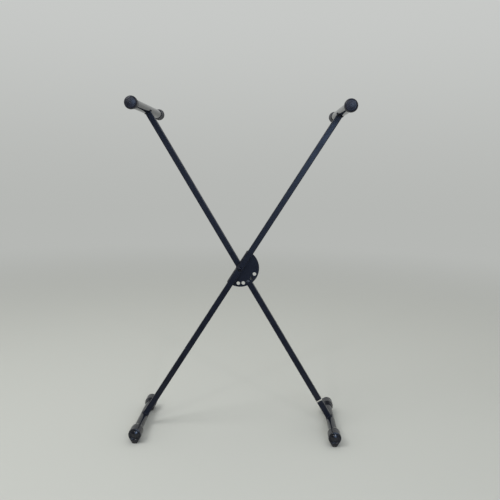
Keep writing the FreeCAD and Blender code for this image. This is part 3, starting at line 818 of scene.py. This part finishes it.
@dataclass
class WeldBeads:
    """Weld beads, each a row of overlapping ripples that has flowed together."""

    throat: float = 2.1  # radius of a ripple, mm
    pitch: float = 1.25  # from ripple to ripple, mm
    rake: float = math.radians(38.0)  # lean of a ripple along the run
    voxel: float = 0.26  # mm
    stitch_length: float = 14.0
    stitch_places: tuple[float, float] = (-30.0, 30.0)

    def ripple(self) -> bpy.types.Object:
        """Return one ripple, a flattened drop across the run of the bead, which is along X."""
        bpy.ops.mesh.primitive_uv_sphere_add(segments=20, ring_count=10, radius=self.throat * MM)
        piece = settle("weld_ripple")
        with editing(piece):
            bpy.ops.mesh.select_all(action="SELECT")
            bpy.ops.transform.resize(value=(0.36, 1.0, 1.0), center_override=(0.0, 0.0, 0.0))
            pick(piece, "VERT", lambda v: v.co.x > 0.0)
            bpy.ops.transform.resize(value=(0.6, 0.96, 0.96), center_override=(0.0, 0.0, 0.0))
        return piece

    def run(self, name: str, points: Sequence[Vector], outward: Sequence[Vector]) -> bpy.types.Object:
        """Lay ripples along a seam and let them flow together.

        Args:
            name: The bead's name.
            points: The seam's points in mm, one for each ripple.
            outward: At each point, the direction out of the corner.

        Returns:
            The bead.
        """
        master = self.ripple()
        drops = []
        for i, (point, out) in enumerate(zip(points, outward)):
            ahead = (points[(i + 1) % len(points)] - points[i - 1]) if 0 < i < len(points) - 1 else (
                points[1] - points[0] if i == 0 else points[-1] - points[-2]
            )
            along = ahead.normalized()
            out = (out - along * out.dot(along)).normalized()
            side = out.cross(along)
            turned = Matrix((along, side, out)).transposed().to_4x4()
            raked = turned @ Matrix.Rotation(self.rake, 4, "Y")
            swell = 1.0 + 0.05 * math.sin(2.3 * i) + 0.03 * math.sin(5.1 * i + 1.0)
            place = Matrix.Translation(point * MM) @ raked @ Matrix.Scale(swell, 4)
            drops.append(copy_to(master, f"{name}_drop", place))
        scrap(master)
        bead = fuse(name, drops)
        finish_with(bead, "REMESH", mode="VOXEL", voxel_size=self.voxel * MM)
        finish_with(bead, "SMOOTH", factor=0.5, iterations=2)
        focus(bead)
        bpy.ops.object.shade_smooth()
        return bead

    def leg_outline(self) -> tuple[list[Vector], list[Vector]]:
        """Return points at the pitch round the leg's rounded square, and the way out at each."""
        flat = LEG_HALF - LEG_CORNER
        arc = math.pi / 2 * LEG_CORNER
        whole = 4 * (2 * flat + arc)
        count = round(whole / self.pitch)
        points, ways = [], []
        for i in range(count):
            walk = whole * i / count
            side, rest = int(walk // (2 * flat + arc)), walk % (2 * flat + arc)
            if rest < 2 * flat:
                place, way = Vector((LEG_HALF, rest - flat, 0.0)), Vector((1.0, 0.0, 0.0))
            else:
                a = (rest - 2 * flat) / LEG_CORNER
                way = Vector((math.cos(a), math.sin(a), 0.0))
                place = Vector((flat, flat, 0.0)) + LEG_CORNER * way
            turn = Matrix.Rotation(side * math.pi / 2, 3, "Z")
            points.append(turn @ place)
            ways.append(turn @ way)
        return points, ways

    def foot_of_leg(self) -> bpy.types.Object:
        """Return the bead round a leg's end that stands on a bar, the bar's axis on Y at the origin."""
        points, ways = self.leg_outline()
        seam, outward = [], []
        for place, way in zip(points, ways):
            height = math.sqrt(BAR_RADIUS**2 - place.x**2)
            bar_way = Vector((place.x, 0.0, height)).normalized()
            seam.append(Vector((place.x, place.y, height)))
            outward.append(way + bar_way)
        return self.run("leg_end_bead", seam, outward)

    def build(self, finishes: dict[Leg, bpy.types.Material]) -> None:
        """Model the beads of both legs and the plate's stitches, and dress them.

        Args:
            finishes: The coat over the beads of each leg.
        """
        end = self.foot_of_leg()
        down = Matrix.Translation((0.0, 0.0, -LOWER_LENGTH * MM))
        up = Matrix.Translation((0.0, 0.0, UPPER_LENGTH * MM)) @ Matrix.Rotation(math.pi, 4, "Y")
        for leg in Leg:
            name = f"leg_{leg.letter}_weld_beads"
            ends = [copy_to(end, name, leg.stand() @ place) for place in (down, up)]
            beads = fuse(name, ends)
            cover(beads, finishes[leg])
            seat(beads, leg.body, "painted_weld", f"leg_{leg.letter}_welds")
        scrap(end)

        steps = round(self.stitch_length / self.pitch)
        reach = self.stitch_length / 2 - 1.2
        line = [Vector((7.5, -2.7, reach * (2 * i / (steps - 1) - 1))) for i in range(steps)]
        stitch = self.run("plate_stitch", line, [Vector((1.0, -1.0, 0.0))] * steps)
        stitches = [
            copy_to(stitch, "stitch", Leg.FRONT.stand(0.0) @ Matrix.Translation((0.0, 0.0, z * MM)))
            for z in self.stitch_places
        ]
        scrap(stitch)
        welds = fuse("plate_stitch_welds", stitches)
        cover(welds, finishes[Leg.FRONT])
        seat(welds, "frame_a", "painted_weld", "plate_welds")


@dataclass
class ArmCaps:
    """The four rubber caps of the arms, domed, with a lipped mouth and a moulding seam."""

    bore: float = 11.02
    floor: float = 29.0
    mouth: float = 11.9
    radius: float = 15.0
    swell: float = 23.6  # station where the full radius is reached
    shoulder: float = 26.6
    edge: float = 6.0
    rise: float = 1.4
    overall: float = 345.0  # over both caps of an arm
    length: float = 34.0
    lip: float = 0.22  # height of the rolled lip at the mouth
    gate: float = 1.5  # radius of the moulding mark in the end

    def master(self) -> bpy.types.Object:
        """Return a cap with its mouth at the origin and its end towards +Y."""
        slope = (self.radius - self.mouth) / self.swell
        rings = [
            (self.bore, self.floor),
            (self.bore, 0.35),
            (self.bore + 0.25, 0.0),
            (self.mouth - 0.15, 0.0),
            (self.mouth + self.lip, 0.35),
            (self.mouth + self.lip + slope, 1.5),
            (self.mouth + self.lip * 0.6 + 2 * slope, 2.1),
            (self.mouth + 2.6 * slope, 2.6),
        ]
        for i in range(1, 7):
            station = 2.6 + (self.swell - 3.4 - 2.6) * i / 6
            rings.append((self.mouth + slope * station, station))
        rings += [
            (self.radius - 0.22, self.swell - 1.8),
            (self.radius - 0.06, self.swell - 0.4),
            (self.radius, self.swell + 1.0),
            (self.radius, self.shoulder),
        ]
        rings += quarter((self.radius - self.edge, self.shoulder), self.edge, 12)
        dome = crown(self.radius - self.edge, self.shoulder + self.edge, self.rise, (7.5, 6.0, 4.5, 3.0, 2.0))
        top = self.length - 0.03
        rings += dome
        rings += [(self.gate + 0.2, top), (self.gate, top - 0.12), (self.gate - 0.25, top - 0.25), (0.4, top - 0.25), (0.0, top - 0.25)]
        piece = turn_up("arm_cap_master", rings)
        self.seam(piece)
        focus(piece)
        bpy.ops.object.shade_smooth_by_angle(angle=math.radians(42.0))
        return piece

    def seam(self, piece: bpy.types.Object) -> None:
        """Raise the moulding seam, a fine ridge where the two halves of the mould met."""
        width = 0.35
        for x in (-width, width):
            with editing(piece):
                bpy.ops.mesh.select_all(action="SELECT")
                bpy.ops.mesh.bisect(plane_co=(x * MM, 0.0, 0.0), plane_no=(1.0, 0.0, 0.0))
        with editing(piece):
            outer = (self.bore + 0.6) * MM
            pick(
                piece,
                "VERT",
                lambda v: abs(v.co.x) < 0.05 * MM
                and (abs(v.co.z) > outer or v.co.y > (self.floor + 1.0) * MM)
                and v.co.y < (self.length - 0.6) * MM,
            )
            bpy.ops.transform.shrink_fatten(value=0.16 * MM)

    def build(self, material: bpy.types.Material) -> None:
        """Model one cap, copy it to the four ends of the arms, and dress them."""
        master = self.master()
        for i, (leg, end) in enumerate((leg, end) for leg in Leg for end in End):
            place = leg.bar_place(UPPER_LENGTH)
            word, facing = end.value
            mouth = place.y + facing * (self.overall / 2 - self.length) * MM
            turn = Matrix.Rotation(0.0 if facing > 0 else math.pi, 4, "Z")
            roll = Matrix.Rotation(math.radians(24.0 + 67.0 * i), 4, "Y")
            move = Matrix.Translation((place.x, mouth, place.z)) @ turn @ roll
            cap = copy_to(master, f"arm_{leg.letter}_{word}_cap_dome", move)
            cover(cap, material)
            seat(cap, leg.body, "cap_rubber", f"arm_{leg.letter}_cap_{word}")
        scrap(master)


@dataclass
class FootBoots:
    """The four rubber boots of the foot bars: a flared sleeve that flows into a narrow sole."""

    bore: float = 11.02
    floor: float = 36.0
    mouth: float = 12.1
    radius: float = 16.0
    taper: float = 13.0
    shoulder: float = 38.4
    edge: float = 2.4
    groove: tuple[float, float] = (11.3, 38.6)  # radius and station of the sunk ring's bottom
    inner: float = 9.8  # radius of the domed middle inside the ring
    rise: float = 3.3
    sole_end: float = 40.2
    toe: float = 8.5
    toe_drop: float = 15.3  # bar axis to the toe's middle
    drop: float = 23.0  # bar axis to floor
    bevel: float = 1.6
    voxel: float = 0.45
    overall: float = 225.0
    length: float = 42.0
    tread: float = 4.2  # spacing of the tread's grooves

    def sleeve(self) -> bpy.types.Object:
        """Return the round body with its bore, mouth at the origin, end towards +Y."""
        rings = [
            (self.bore, self.floor),
            (self.bore, 0.4),
            (self.bore + 0.3, 0.0),
            (self.mouth - 0.2, 0.0),
            (self.mouth, 0.3),
            (self.mouth + 0.35, 1.2),
            (self.radius, self.taper),
            (self.radius, self.shoulder),
        ]
        rings += quarter((self.radius - self.edge, self.shoulder), self.edge, 8)
        rings += [self.groove, (self.inner + 0.5, self.groove[1])]
        button = crown(self.inner, self.length - self.rise, self.rise, (9.8, 8.8, 7.4, 5.8, 4.2, 2.6, 1.2))
        rings += button
        rings += [(0.0, self.length)]
        return turn_up("boot_sleeve", rings, 80)

    def sole(self) -> bpy.types.Object:
        """Return the sole: the hull of the body and the toe, cut flat underneath and grooved."""
        body = round_bar("boot_body", self.radius, self.taper, self.sole_end, sides=80)
        toe = round_bar("boot_toe", self.toe, self.taper, self.sole_end, z=-self.toe_drop, sides=48)
        hull = fuse("boot_sole", [body, toe])
        with editing(hull):
            bpy.ops.mesh.select_all(action="SELECT")
            bpy.ops.mesh.convex_hull()
            bpy.ops.mesh.select_all(action="SELECT")
            bpy.ops.mesh.bisect(
                plane_co=(0.0, 0.0, -self.drop * MM),
                plane_no=(0.0, 0.0, -1.0),
                use_fill=True,
                clear_outer=True,
            )
        finish_with(hull, "BEVEL", width=self.bevel * MM, segments=3, angle_limit=math.radians(50.0))
        finish_with(hull, "TRIANGULATE")
        blocks = []
        first = self.taper + self.bevel + 2.4
        for i in range(5):
            bpy.ops.mesh.primitive_cube_add(
                size=1.0,
                location=(0.0, (first + i * self.tread) * MM, -self.drop * MM),
                scale=(20.0 * MM, 1.7 * MM, 2.2 * MM),
            )
            blocks.append(settle("tread_block"))
        carve(
            hull,
            fuse("tread_tool", blocks),
            round_bar("bore_tool", self.bore, -1.0, self.floor),
            round_bar("groove_tool", self.radius - self.edge, self.shoulder, self.length + 1.0),
        )
        return hull

    def master(self) -> bpy.types.Object:
        """Return a whole boot, sleeve and sole flowed into one skin of rubber."""
        boot = fuse("foot_boot_master", [self.sleeve(), self.sole()])
        finish_with(boot, "REMESH", mode="VOXEL", voxel_size=self.voxel * MM)
        finish_with(boot, "SMOOTH", factor=0.5, iterations=3)
        with editing(boot):
            pick(boot, "VERT", lambda v: v.co.z < -(self.drop - 0.22) * MM)
            bpy.ops.transform.resize(
                value=(1.0, 1.0, 0.0), center_override=(0.0, 0.0, -self.drop * MM)
            )
        focus(boot)
        bpy.ops.object.shade_smooth()
        return boot

    def build(self, material: bpy.types.Material) -> None:
        """Model one boot, copy it to the four ends of the foot bars, and dress them."""
        master = self.master()
        for leg in Leg:
            for end in End:
                place = leg.bar_place(-LOWER_LENGTH)
                word, facing = end.value
                mouth = place.y + facing * (self.overall / 2 - self.length) * MM
                turn = Matrix.Rotation(0.0 if facing > 0 else math.pi, 4, "Z")
                move = Matrix.Translation((place.x, mouth, place.z)) @ turn
                boot = copy_to(master, f"foot_{leg.letter}_{word}_boot_shoe", move)
                cover(boot, material)
                seat(boot, leg.body, "boot_rubber", f"foot_{leg.letter}_boot_{word}")
        scrap(master)


@dataclass
class SelectorPlate:
    """The half-moon plate, pressed from sheet, with a bent lip and punched holes."""

    radius: float = 49.0
    thickness: float = 2.5
    rear: float = 0.75
    lip_outside: float = -11.7
    lip_front: float = -12.75
    bend: float = 3.0
    hole_radius: float = 4.6
    hole_circle: float = 40.0
    openings: tuple[float, ...] = (4.0, 26.0, 44.5, 63.0, 81.5, 100.0)
    bolt_hole: float = 3.1
    edge: float = 0.35

    def blank(self) -> bpy.types.Object:
        """Return the sheet's middle surface: a half-moon, its straight side bent forward."""
        middle = self.rear - self.thickness / 2
        bpy.ops.mesh.primitive_circle_add(
            vertices=160,
            radius=(self.radius) * MM,
            fill_type="NGON",
            location=(0.0, middle * MM, 0.0),
            rotation=(math.pi / 2, 0.0, 0.0),
        )
        piece = settle("selector_half_moon")
        fold = self.lip_outside + self.bend
        inner = self.bend - self.thickness / 2
        with editing(piece):
            bpy.ops.mesh.select_all(action="SELECT")
            bpy.ops.mesh.bisect(
                plane_co=(fold * MM, 0.0, 0.0),
                plane_no=(-1.0, 0.0, 0.0),
                clear_outer=True,
            )
            pick(piece, "EDGE", lambda e: all(abs(v.co.x - fold * MM) < 1e-6 for v in e.verts))
            for _ in range(8):
                bpy.ops.mesh.extrude_edges_move(TRANSFORM_OT_translate={"value": (0.0, 0.0, 0.0)})
                bpy.ops.transform.rotate(
                    value=math.radians(90.0 / 8),
                    orient_axis="Z",
                    center_override=(fold * MM, (middle - inner) * MM, 0.0),
                )
            reach = (middle - inner) - self.lip_front
            bpy.ops.mesh.extrude_edges_move(
                TRANSFORM_OT_translate={"value": (0.0, -reach * MM, 0.0)}
            )
        return piece

    def build(self, material: bpy.types.Material) -> None:
        """Model the plate in the upright leg's frame, lean it into place, and dress it."""
        piece = self.blank()
        with editing(piece):
            bpy.ops.mesh.select_all(action="SELECT")
            bpy.ops.mesh.normals_make_consistent(inside=False)
        finish_with(piece, "SOLIDIFY", thickness=self.thickness * MM, offset=0.0)
        holes = [
            (self.hole_radius, self.hole_circle * math.sin(math.radians(o)), -self.hole_circle * math.cos(math.radians(o)))
            for o in self.openings
        ]
        holes.append((self.bolt_hole, 0.0, 0.0))
        for radius, x, z in holes:
            carve(piece, round_bar("punch", radius, -4.0, 4.0, x=x, z=z, sides=48))
        finish_with(
            piece,
            "BEVEL",
            width=self.edge * MM,
            segments=2,
            limit_method="ANGLE",
            angle_limit=math.radians(40.0),
        )
        piece.data.transform(Leg.FRONT.stand(0.0))
        focus(piece)
        bpy.ops.object.shade_smooth_by_angle(angle=math.radians(35.0))
        finish_with(piece, "WEIGHTED_NORMAL", keep_sharp=True, weight=100)
        cover(piece, material)
        seat(piece, "frame_a", "satin_black_plate", "selector_plate")


@dataclass
class SpringPlunger:
    """The spring plunger: its knob and its coil are modelled, the rest keeps its shape."""

    axis_x: float = 20.90
    axis_z: float = 395.60
    knob_front: float = 40.55
    knob_radius: float = 14.5
    flutes: int = 12
    flute_depth: float = 0.9
    flute_steps: tuple[float, ...] = (1.0, 0.85, 0.5, 0.15)  # depth from a flute's middle outwards
    coil_front: float = 22.65
    coil_rear: float = 31.65
    coil_gap: float = 0.05  # left at both ends of the coil
    coil_radius: float = 4.6
    wire: float = 0.9
    turns: int = 4
    pull: float = 4.0

    def place(self, y: float) -> Matrix:
        """Return the move to the plunger's axis, y mm from front to back."""
        return Matrix.Translation((self.axis_x * MM, y * MM, self.axis_z * MM))

    def knob(self) -> bpy.types.Object:
        """Return the knob with its grip flutes, front face at the origin."""
        outer = self.knob_radius
        rings = [
            (3.0, 8.0),
            (3.0, 0.3),
            (3.3, 0.0),
            (7.6, 0.0),
            (8.0, 0.4),
            (8.0, 2.4),
            (8.6, 3.0),
            (outer - 2.2, 3.0),
            (outer - 1.2, 3.3),
            (outer - 0.3, 4.3),
            (outer, 5.2),
            (outer, 6.8),
            (outer, 8.5),
        ]
        rings += quarter((outer - 3.5, 8.5), 3.5, 10)
        rings += crown(outer - 3.5, 12.0, 1.0, (9.6, 8.0, 6.4, 5.0, 3.9))
        rings += [(3.35, 12.85), (3.1, 12.6), (3.1, 10.3), (2.6, 10.0), (0.5, 10.0), (0.0, 10.0)]
        piece = turn_up("knob_fluted", rings)
        with editing(piece):
            for step, share in enumerate(self.flute_steps):
                for reach, part in ((3.2, 0.35), (1.2, 0.65)):
                    def in_flute(v: Any, step: int = step, reach: float = reach) -> bool:
                        """Say whether a rim vertex lies on this line of a flute, near the rim."""
                        spread = math.atan2(v.co.z, v.co.x) * self.flutes / (2 * math.pi)
                        off = abs(spread - round(spread)) * 2 * len(self.flute_steps)
                        wide = math.hypot(v.co.x, v.co.z) > (outer - reach) * MM
                        return wide and round(off) == step and v.co.y > 3.1 * MM

                    pick(piece, "VERT", in_flute)
                    shrink = 1.0 - share * part * self.flute_depth / outer
                    bpy.ops.transform.resize(
                        value=(shrink, 1.0, shrink), center_override=(0.0, 0.0, 0.0)
                    )
        focus(piece)
        bpy.ops.object.shade_smooth_by_angle(angle=math.radians(40.0))
        return piece

    def coil(self) -> bpy.types.Object:
        """Return the compression spring, wound by a screw from one ring of wire."""
        front = self.coil_front + self.coil_gap
        rise = (self.coil_rear - self.coil_gap - front - self.wire) / self.turns
        bpy.ops.mesh.primitive_circle_add(
            vertices=14,
            radius=self.wire / 2 * MM,
            location=(self.coil_radius * MM, (front + self.wire / 2) * MM, 0.0),
        )
        piece = settle("spring_coil")
        finish_with(
            piece,
            "SCREW",
            axis="Y",
            angle=2 * math.pi * self.turns,
            steps=40 * self.turns,
            render_steps=40 * self.turns,
            screw_offset=rise * self.turns * MM,
            iterations=1,
            use_merge_vertices=False,
        )
        with editing(piece):
            pick(piece, "EDGE", lambda e: e.is_boundary)
            bpy.ops.mesh.edge_face_add()
            bpy.ops.mesh.select_all(action="SELECT")
            bpy.ops.mesh.normals_make_consistent(inside=False)
        focus(piece)
        bpy.ops.object.shade_smooth_by_angle(angle=math.radians(50.0))
        return piece

    def build(
        self,
        coat: bpy.types.Material,
        steel: bpy.types.Material,
        wire: bpy.types.Material,
        plastic: bpy.types.Material,
        zinc: bpy.types.Material,
    ) -> None:
        """Model the knob and the coil, and dress the whole plunger."""
        refinish(coat, "plunger_barrel", "plunger_gland")
        refinish(steel, "plunger_pin")
        refinish(zinc, "knob_screw")

        knob = self.knob()
        knob.data.transform(self.place(self.knob_front))
        cover(knob, plastic)
        seat(knob, "plunger", "knob_plastic", "pull_knob")

        coil = self.coil()
        coil.data.transform(self.place(0.0))
        cover(coil, wire)
        seat(coil, "plunger", "spring_wire", "plunger_spring")
        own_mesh(coil)


@dataclass
class LegBand:
    """The pale band round the rear leg: tape drawn tight, its end lapped over."""

    height: float = 63.0  # above the foot bar's axis, along the leg
    width: float = 3.0
    inner: float = 7.55  # half of the inside
    thickness: float = 0.7
    lap: float = 0.25
    lap_length: float = 9.0

    def loop(self, name: str, grow: float, width: float) -> bpy.types.Object:
        """Return a band round the leg, grown by so many mm, centred on the origin."""
        half = self.inner + grow
        bpy.ops.mesh.primitive_cube_add(size=1.0, scale=(2 * half * MM, 2 * half * MM, width * MM))
        piece = settle(name)
        with editing(piece):
            pick(piece, "EDGE", lambda e: abs(e.verts[0].co.z - e.verts[1].co.z) > 0.5 * width * MM)
            bpy.ops.mesh.bevel(offset=(LEG_CORNER + grow) * MM, segments=8, affect="EDGES")
            pick(piece, "FACE", lambda f: abs(f.normal.z) > 0.9)
            bpy.ops.mesh.delete(type="FACE")
        return piece

    def build(self, material: bpy.types.Material) -> None:
        """Model the band and its lapped end, put it round the leg, and dress it."""
        band = self.loop("band_loop", self.thickness, self.width)
        finish_with(band, "SOLIDIFY", thickness=self.thickness * MM, offset=-1.0)
        lap = self.loop("band_lap", self.thickness + self.lap, self.width * 0.94)
        with editing(lap):
            bpy.ops.mesh.select_all(action="SELECT")
            for x, way in ((-self.lap_length / 2, -1.0), (self.lap_length / 2, 1.0)):
                bpy.ops.mesh.select_all(action="SELECT")
                bpy.ops.mesh.bisect(
                    plane_co=(x * MM, 0.0, 0.0), plane_no=(way, 0.0, 0.0), clear_outer=True
                )
            pick(lap, "VERT", lambda v: v.co.y > 0.0)
            bpy.ops.mesh.delete(type="VERT")
        finish_with(lap, "SOLIDIFY", thickness=self.lap * MM * 1.2, offset=-1.0)
        whole = fuse("leg_b_tape_band", [band, lap])
        finish_with(whole, "BEVEL", width=0.12 * MM, segments=2, angle_limit=math.radians(50.0))
        whole.data.transform(
            Leg.REAR.stand() @ Matrix.Translation((0.0, 0.0, (self.height - LOWER_LENGTH) * MM))
        )
        focus(whole)
        bpy.ops.object.shade_smooth_by_angle(angle=math.radians(40.0))
        cover(whole, material)
        seat(whole, "frame_b", "band_white", "leg_b_band")


@dataclass
class KeyboardStand:
    """The whole stand: which finish each sub-assembly wears."""

    def build(self) -> None:
        """Build the sub-assemblies in order and dress every piece."""
        enamel = GlossEnamel().material()
        refinish(enamel, "arm_a_tube", "arm_b_tube", "foot_a_tube", "foot_b_tube")
        coats = {leg: PowderCoat(leg).material() for leg in Leg}
        for leg in Leg:
            refinish(coats[leg], f"leg_{leg.letter}_tube")

        WeldBeads().build(coats)
        ArmCaps().build(MouldedRubber("moulded_cap_rubber").material())
        boot_rubber = MouldedRubber(
            "moulded_boot_rubber", colour="#0c0e17", bloom="#161923", dust_height=7.0, roughness=0.22
        )
        FootBoots().build(boot_rubber.material())
        SelectorPlate().build(PlateCoat(Leg.FRONT, 0.0).material())

        zinc = PlatedSteel("bright_zinc_plate", "#b4b8bc", "#c3bfae", 0.3, 0.5).material()
        nylon = MouldedPlastic("natural_nylon", "#d8d5cb", "#c9c5b8", 0.42).material()
        refinish(
            PlatedSteel("black_zinc_plate", "#2b2c31", "#30313a", 0.36, 0.5).material(),
            "pivot_bolt",
            "pivot_head_washer",
        )
        refinish(zinc, "pivot_crush_sleeve", "pivot_tail_washer", "pivot_lock_nut")
        refinish(nylon, "pivot_bush", "pivot_lock_nut_ring")
        refinish(MouldedPlastic("black_nylon", "#14161c", "#1d1f27", 0.42).material(), "pivot_spacer")

        SpringPlunger().build(
            coat=coats[Leg.REAR],
            steel=PlatedSteel("turned_steel", "#94969a", "#85878c", 0.27, 0.35, depth=0.03).material(),
            wire=PlatedSteel("drawn_spring_wire", "#8d8d8a", "#777672", 0.34, 0.8).material(),
            plastic=MouldedPlastic("textured_black_plastic", "#12141b", "#1b1d25", 0.45, ior=1.5).material(),
            zinc=zinc,
        )
        LegBand().build(WovenTape().material())


# Studio.


@dataclass
class Studio:
    """A pale floor and room, soft lamps, and the camera of the photograph."""

    floor_colour: str = "#c3c5bf"
    room_low: str = "#b6b8b5"
    room_high: str = "#c8cac8"
    room_light: float = 0.57  # of the plain light level, the lamps give the rest
    window_way: tuple[float, float, float] = (0.27, -0.93, 0.25)  # from the stand towards the window
    window_light: float = 3.2  # of its gleam in the gloss
    focal: float = 41.4
    eye: tuple[float, float, float] = (0.0696, -1.4542, 0.6970)
    yaw: float = -0.031
    pitch: float = -0.150
    roll: float = 0.021

    def camera(self) -> None:
        """Stand the camera where the photograph was taken from."""
        ahead = Vector(
            (
                math.sin(self.yaw) * math.cos(self.pitch),
                math.cos(self.yaw) * math.cos(self.pitch),
                math.sin(self.pitch),
            )
        )
        right = Vector((math.cos(self.yaw), -math.sin(self.yaw), 0.0))
        above = right.cross(ahead)
        turned_right = math.cos(self.roll) * right + math.sin(self.roll) * above
        turned_above = -math.sin(self.roll) * right + math.cos(self.roll) * above
        data = bpy.data.cameras.new("photograph_view")
        data.sensor_width = 36.0
        data.lens = self.focal
        data.clip_start, data.clip_end = 0.05, 60.0
        camera = bpy.data.objects.new("photograph_view", data)
        basis = Matrix((turned_right, turned_above, -ahead)).transposed().to_4x4()
        camera.matrix_world = Matrix.Translation(self.eye) @ basis
        bpy.context.scene.collection.objects.link(camera)
        bpy.context.scene.camera = camera

    def floor(self) -> None:
        """Lay the floor, which far out takes on the tone of the room."""
        bpy.ops.mesh.primitive_circle_add(vertices=128, radius=8.0, fill_type="NGON")
        ground = settle("studio_floor")
        s = Surface("pale_matt_floor", {"Roughness": 0.8, "Specular IOR Level": 0.2})
        s.shader.inputs["Base Color"].default_value = linear(self.floor_colour)
        far = s.add("ShaderNodeVectorMath", {}, {0: s.coords}, operation="LENGTH")
        fade = s.add(
            "ShaderNodeMapRange",
            {"From Min": 0.9, "From Max": 3.6},
            {"Value": far.outputs["Value"]},
            interpolation_type="SMOOTHSTEP",
        )
        glow = s.add("ShaderNodeEmission", {"Color": linear(self.room_low), "Strength": 1.0})
        pale = s.add(
            "ShaderNodeMixShader",
            {},
            {0: fade.outputs[0], 1: s.shader.outputs[0], 2: glow.outputs[0]},
        )
        # In front of the table the room is dark, which only the gloss of the stand shows.
        split = s.add("ShaderNodeSeparateXYZ", {}, {0: s.coords})
        ahead = s.add(
            "ShaderNodeMapRange",
            {"From Min": -0.2, "From Max": -0.42, "To Max": 0.85},
            {"Value": split.outputs[1]},
        )
        path = s.add("ShaderNodeLightPath")
        dark = s.add(
            "ShaderNodeMath",
            {},
            {0: ahead.outputs[0], 1: path.outputs["Is Glossy Ray"]},
            operation="MULTIPLY",
        )
        shade = s.add("ShaderNodeEmission", {"Color": linear("#2a2c30"), "Strength": 1.0})
        whole = s.add(
            "ShaderNodeMixShader",
            {},
            {0: dark.outputs[0], 1: pale.outputs[0], 2: shade.outputs[0]},
        )
        s.tree.links.new(whole.outputs[0], s.tree.nodes["Material Output"].inputs[0])
        cover(ground, s.material)

    def room(self) -> None:
        """Light the room evenly, and let the camera and the gloss see a pale wall."""
        world = bpy.data.worlds.new("studio_room")
        world.use_nodes = True
        bpy.context.scene.world = world
        s = Wiring(world.node_tree)
        s.tree.nodes.clear()
        way = s.add("ShaderNodeTexCoord").outputs["Generated"]
        split = s.add("ShaderNodeSeparateXYZ", {}, {0: way})
        height = s.add(
            "ShaderNodeMapRange",
            {"From Min": -0.1, "From Max": 0.3},
            {"Value": split.outputs[2]},
            interpolation_type="SMOOTHSTEP",
        )
        wall = s.add(
            "ShaderNodeMix",
            {6: linear(self.room_low), 7: linear(self.room_high)},
            {0: height.outputs[0]},
            data_type="RGBA",
        )
        behind = s.add(
            "ShaderNodeMapRange",
            {"From Min": -0.5, "From Max": 0.5, "To Min": 0.26, "To Max": 1.0},
            {"Value": split.outputs[1]},
        )
        ceiling = s.add(
            "ShaderNodeMapRange",
            {"From Min": 0.5, "From Max": 0.8, "To Min": 1.0, "To Max": 0.3},
            {"Value": split.outputs[2]},
        )
        dim = s.add(
            "ShaderNodeMath", {}, {0: behind.outputs[0], 1: ceiling.outputs[0]}, operation="MULTIPLY"
        )
        path = s.add("ShaderNodeLightPath")
        seen = s.add("ShaderNodeBackground", {"Strength": 1.0}, {0: wall.outputs[2]})
        shine = s.add("ShaderNodeBackground", {}, {0: wall.outputs[2], 1: dim.outputs[0]})
        toward = s.add(
            "ShaderNodeVectorMath", {1: self.window_way}, {0: way}, operation="DOT_PRODUCT"
        )
        pane = s.add(
            "ShaderNodeMapRange",
            {"From Min": 0.9, "From Max": 0.98, "To Max": self.window_light},
            {"Value": toward.outputs["Value"]},
            interpolation_type="SMOOTHSTEP",
        )
        blue = s.add("ShaderNodeBackground", {"Color": linear("#aac8f2")}, {1: pane.outputs[0]})
        gleam = s.add("ShaderNodeAddShader", {}, {0: shine.outputs[0], 1: blue.outputs[0]})
        light = s.add(
            "ShaderNodeBackground", {"Color": (1.0, 1.0, 0.985, 1.0), "Strength": self.room_light}
        )
        glossy = s.add(
            "ShaderNodeMixShader",
            {},
            {0: path.outputs["Is Glossy Ray"], 1: light.outputs[0], 2: gleam.outputs[0]},
        )
        clear = s.add(
            "ShaderNodeMath",
            {},
            {0: path.outputs["Is Camera Ray"], 1: path.outputs["Is Transmission Ray"]},
            operation="MAXIMUM",
        )
        whole = s.add(
            "ShaderNodeMixShader",
            {},
            {0: clear.outputs[0], 1: glossy.outputs[0], 2: seen.outputs[0]},
        )
        s.add("ShaderNodeOutputWorld", {}, {0: whole.outputs[0]})

    def lamps(self) -> None:
        """Hang the lamps: a soft key, a broad top light, a window, and two small far ceiling lights."""
        for name, place, aim, size, power, colour, spread in (
            ("key_softbox", (-1.25, -0.75, 2.25), (0.0, 0.0, 0.3), 1.1, 20.0, "#ffffff", 180.0),
            ("top_softbox", (0.25, 0.5, 2.5), (0.0, 0.0, 0.3), 2.0, 10.0, "#ffffff", 180.0),
            ("window", (0.66, -2.6, 1.08), (0.2, 0.0, 0.8), 0.75, 7.0, "#b4d0ff", 180.0),
            ("ceiling_light_left", (-1.5, -3.4, 2.4), (0.0, 0.0, 0.1), 0.3, 12.0, "#ffffff", 180.0),
            ("ceiling_light_right", (1.5, -3.4, 2.4), (0.0, 0.0, 0.1), 0.3, 12.0, "#ffffff", 180.0),
        ):
            data = bpy.data.lights.new(name, "AREA")
            data.shape, data.size, data.energy = "SQUARE", size, power
            data.spread = math.radians(spread)
            data.color = linear(colour)[:3]
            lamp = bpy.data.objects.new(name, data)
            lamp.location = place
            way = Vector(aim) - Vector(place)
            lamp.rotation_euler = way.to_track_quat("-Z", "Y").to_euler()
            lamp.visible_camera = False
            lamp.visible_glossy = name != "top_softbox"
            bpy.context.scene.collection.objects.link(lamp)

    def build(self) -> None:
        """Set up the camera, the floor, the room and the lamps."""
        self.camera()
        self.floor()
        self.room()
        self.lamps()
        bpy.context.scene.view_settings.view_transform = "Standard"


def main() -> None:
    """Build the studio and the stand."""
    logging.basicConfig(level=logging.INFO, format="%(name)s: %(message)s")
    focus()
    Studio().build()
    KeyboardStand().build()


if __name__ == "__main__":
    main()
